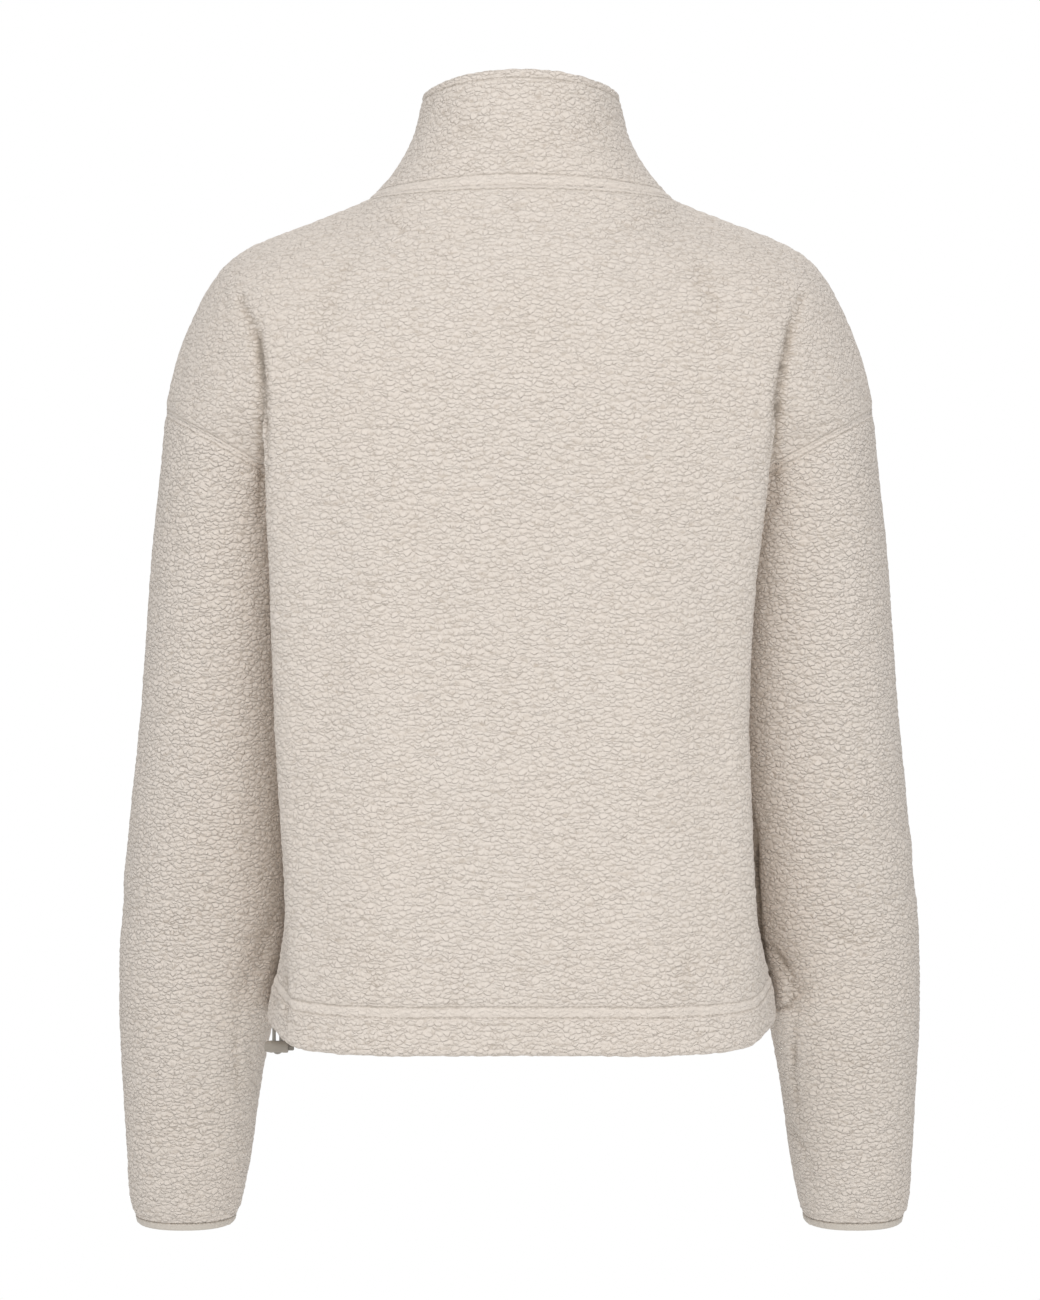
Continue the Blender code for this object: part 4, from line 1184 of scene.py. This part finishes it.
def pebbles(n, place, size):
    """Rounded cells of that many in each metre: their furrows, how far down in its cell each point
    lies, and how far out from the middle."""
    cells = n.vector("MULTIPLY", place, size)
    first = n.add("TexVoronoi", {"Vector": cells, "Scale": 1.0}).outputs
    second = n.add("TexVoronoi", {"Vector": cells, "Scale": 1.0}, feature="F2").outputs["Distance"]
    furrow = n.less(second, first["Distance"])
    away = n.add("SeparateXYZ", {0: n.vector("SUBTRACT", cells, first["Position"])}).outputs["Z"]
    return furrow, n.remap(away, *PEBBLE_UNDER, 1.0, 0.0), first["Distance"]


def fleece_material():
    """Curly pile: pebbled tufts with painted shade in the furrows below them and painted light on
    their tops, pressed down at the seams.
    """
    n = Nodes("fleece")
    seam, nap, relief_shade, loose = (n.attribute(key) for key in ("seam", "nap", "relief_shade", "loose"))
    warp = n.vector("SUBTRACT", n.noise(*FLEECE_NOISES["warp"], output="Color"), (0.5, 0.5, 0.5))
    curled = n.vector("MULTIPLY_ADD", warp, PEBBLE_WARP, n.place)
    uneven, fibres, wander, broken, patches = (
        n.noise(*FLEECE_NOISES[key]) for key in ("uneven", "fibres", "wander", "broken", "patches"))
    curls = n.noise(*FLEECE_NOISES["curls"], at=curled)
    # Furrows between the pebbles and between their rows, in painted shade that is darkest on their
    # upper sides
    between, under, middle = pebbles(n, curled, PEBBLES)
    shade = n.times(n.remap(between, 0.0, 0.42, 1.0, 0.0), n.times(under, 0.55, 0.45))
    shade = n.times(shade, n.times(loose, 0.1, 0.8))
    between, under, _ = pebbles(n, curled, PEBBLE_ROWS)
    row_shade = n.times(n.remap(between, 0.0, 0.26, 1.0, 0.0), n.times(under, 0.9, 0.1))
    row_shade = n.times(row_shade, n.remap(uneven, 0.38, 0.64, 0.35, 1.0))
    row_shade = n.times(row_shade, n.times(loose, -0.15, 0.85))
    dark = n.math("MAXIMUM", shade, row_shade)
    # The stitch lines, which wander and break up
    line = n.math("ABSOLUTE", n.math("ADD", seam, n.times(wander, 2.2, -1.1)))
    line = n.remap(line, 0.1, 0.9, 1.0, 0.0)
    # Relief: round pebbles with curls, less where the pile is pressed down, fibres and the lines
    pile = n.times(n.less(1.0, n.times(middle, middle)), 0.55, n.times(curls, 0.35))
    pile = n.less(pile, n.times(dark, 0.75))
    pile = n.times(pile, n.times(nap, 0.8, 0.2))
    pile = n.times(pile, n.times(loose, 0.25, 0.95))
    height = n.less(n.times(fibres, 0.12, pile), n.times(line, 0.35))
    # Colour: painted light on the tops, painted shade in the furrows and folds, light bands where
    # the pile is pressed down
    light = n.times(curls, 0.5, n.times(relief_shade, 0.3, 0.5))
    light = n.less(light, n.times(dark, n.times(loose, 0.05, 0.6)))
    # Painted light: the sleeves' colour is made a little lighter
    light = n.remap(n.times(loose, 0.07, light), 0.0, 0.85)
    light = n.math("MAXIMUM", light, n.remap(nap, 0.6, 0.9, 0.9, 0.0))
    colour = n.blend(light, rgba(FLEECE_LOW), rgba(FLEECE_TOP))
    warm = n.blend(light, rgba(FLEECE_LOW, 0.96), rgba(FLEECE_WARM))
    colour = n.blend(n.remap(patches, 0.3, 0.7, 0.0, 0.4), colour, warm)
    # Painted shade in the grooves of the stitch lines, broken up along them
    line = n.times(n.times(line, n.remap(broken, 0.36, 0.58, 0.3, 1.0)), 0.6)
    colour = n.blend(line, colour, rgba(FLEECE_LOW, 0.9))
    # Painted shade, darker still in the deepest creases and folds
    colour = n.blend(n.remap(relief_shade, -2.3, -0.6, 0.75, 0.0), colour, rgba(FLEECE_LOW, 0.3))
    return n.finish(Base_Color=colour, Roughness=0.96, Normal=n.bump(height, 0.0011, 0.9),
                    Sheen_Weight=0.12, Sheen_Roughness=0.55, Specular_IOR_Level=0.15)


def fleece_back_material():
    """The cloth's plain inside, a fine jersey."""
    n = Nodes("fleece_back")
    ribs = n.bands(210.0, "X", Distortion=1.2, Detail=1.0)
    soft = n.noise(400.0, 3.0)
    colour = n.blend(soft, rgba(FLEECE_LOW, 0.95), rgba(FLEECE_TOP, 0.93))
    return n.finish(Base_Color=colour, Roughness=0.92, Sheen_Weight=0.1, Specular_IOR_Level=0.2,
                    Normal=n.bump(n.times(ribs, 0.4, soft), 0.0003, 0.6))


def binding_material():
    """Smooth elastic with fine ribs along the strip."""
    n = Nodes("binding")
    ribs = n.bands(330.0, "Z", Distortion=0.4)
    weave = n.noise(1000.0, 2.0)
    colour = n.blend(weave, rgba(BINDING_COLOUR, 0.9), rgba(BINDING_COLOUR, 1.1))
    return n.finish(Base_Color=colour, Roughness=0.7, Sheen_Weight=0.15, Specular_IOR_Level=0.25,
                    Normal=n.bump(n.times(ribs, 0.5, n.times(weave, 0.5)), 0.0002, 0.6))


def cord_material():
    """A braid: two sets of crossing bands round the cord, with painted shade in the grooves between
    them.
    """
    n = Nodes("cord")
    sets = []
    for slant in (0.75, -0.75):
        across = n.add("Mapping", {"Vector": n.place, "Rotation": (0, slant, 0)}).outputs[0]
        sets.append(n.bands(420.0, "X", at=across))
    braid = n.math("MAXIMUM", *sets)
    colour = n.blend(braid, rgba(CORD_COLOUR, 0.6), rgba(CORD_COLOUR, 1.15))
    return n.finish(Base_Color=colour, Roughness=0.75, Normal=n.bump(braid, 0.0002, 0.8),
                    Sheen_Weight=0.1)


def lock_material(name, tone):
    """Moulded plastic with a fine matt grain."""
    n = Nodes(name)
    worn = n.noise(240.0, 3.0)
    colour = n.blend(worn, rgba(LOCK_COLOUR, 0.9 * tone), rgba(LOCK_COLOUR, 1.1 * tone))
    return n.finish(Base_Color=colour, Roughness=n.remap(worn, 0.3, 0.7, 0.36, 0.5),
                    Normal=n.bump(n.noise(2600.0, 2.0), 0.00005, 0.5))


def thread_material():
    """Spun thread, lighter and darker along its twist."""
    n = Nodes("thread")
    twist = n.noise(1400.0, 2.0)
    colour = n.blend(twist, rgba(THREAD_COLOUR, 0.9), rgba(THREAD_COLOUR, 1.08))
    return n.finish(Base_Color=colour, Roughness=0.8, Normal=n.bump(twist, 0.0001, 0.5))


def floor_material():
    """Plain pale paint."""
    n = Nodes("floor")
    colour = n.blend(n.noise(3.0, 3.0), *(rgba(tone) for tone in FLOOR_TONES))
    return n.finish(Base_Color=colour, Roughness=0.8)


# Camera, light and floor

def set_stage():
    """The camera at the photograph's angle, the lights, an even fill and the floor."""
    camera = linked("camera", bpy.data.cameras.new("camera"))
    camera.location = CAMERA_AT
    camera.rotation_euler = (math.pi / 2, 0, 0)
    camera.data.sensor_width = CAMERA_SENSOR
    camera.data.lens = CAMERA_LENS
    camera.data.clip_end = CAMERA_REACH
    scene = bpy.context.scene
    scene.camera = camera
    for name, place, size, power in LIGHTS:
        data = bpy.data.lights.new(name, "AREA")
        data.shape = "DISK"
        data.size = size
        data.energy = power
        lamp = linked(name, data)
        lamp.location = place
        aim = Vector(LIGHTS_AIM) - Vector(place)
        lamp.rotation_euler = aim.to_track_quat("-Z", "Y").to_euler()
    # The camera sees a white background, and the cloth is lit by the fill
    scene.world = bpy.data.worlds.new("studio")
    scene.world.use_nodes = True
    nodes, links = scene.world.node_tree.nodes, scene.world.node_tree.links
    seen, fill = nodes["Background"], nodes.new("ShaderNodeBackground")
    for node, colour, strength in ((seen, (1, 1, 1, 1), 1.0), (fill, FILL_COLOUR, FILL)):
        node.inputs[0].default_value = colour
        node.inputs[1].default_value = strength
    path, mix = nodes.new("ShaderNodeLightPath"), nodes.new("ShaderNodeMixShader")
    links.new(path.outputs["Is Camera Ray"], mix.inputs[0])
    links.new(fill.outputs[0], mix.inputs[1])
    links.new(seen.outputs[0], mix.inputs[2])
    links.new(mix.outputs[0], nodes["World Output"].inputs[0])
    scene.view_settings.view_transform = "Standard"
    scene.view_settings.look = "None"
    data = bpy.data.meshes.new("floor")
    mesh = bmesh.new()
    bmesh.ops.create_circle(mesh, cap_ends=True, segments=FLOOR_SIDES, radius=FLOOR_RADIUS)
    mesh.to_mesh(data)
    mesh.free()
    data.materials.append(floor_material())
    floor = linked("floor", data)
    floor.location = (0, 0, FLOOR_Z)


set_stage()
MATERIALS = {
    "fleece": fleece_material(),
    "fleece_back": fleece_back_material(),
    "binding": binding_material(),
    "cord": cord_material(),
    "thread": thread_material(),
    "lock_barrel": lock_material("lock_barrel", 1.25),
    "lock_plunger": lock_material("lock_plunger", 0.75),
}
dress_cord()
for node in ("lock_barrel", "lock_plunger"):
    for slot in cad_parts[node].material_slots:
        slot.material = MATERIALS[node]

cloths = {
    "back": base_cloth(panel_grid(BACK_TORSO, BACK_SHOULDER, 1), False, 1),
    "front": base_cloth(panel_grid(FRONT_TORSO, FRONT_SHOULDER, -1), False, -1),
    "sleeve_right": base_cloth(sleeve_grid(), True, -1),
    "sleeve_left": base_cloth(mirrored(sleeve_grid()), True, -1),
    "collar": base_cloth(collar_grid(), True, 1),
}
share_normals(list(cloths.values()))
dressed = {
    "back": dress_panel("back", cloths["back"], 11),
    "front": dress_panel("front", cloths["front"], 23),
    "sleeve_right": dress_sleeve("sleeve_right", cloths["sleeve_right"], 37),
    "sleeve_left": dress_sleeve("sleeve_left", cloths["sleeve_left"], 53),
    "collar": dress_collar(cloths["collar"], 71),
    "cuff_binding_right": dress_binding("cuff_binding_right", 1),
    "cuff_binding_left": dress_binding("cuff_binding_left", -1),
}
for node, (piece, lines) in dressed.items():
    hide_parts(node)
    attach(piece, "garment")
    sewn = stitches(node + "_stitches", lines, MATERIALS["thread"])
    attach(sewn, "garment")
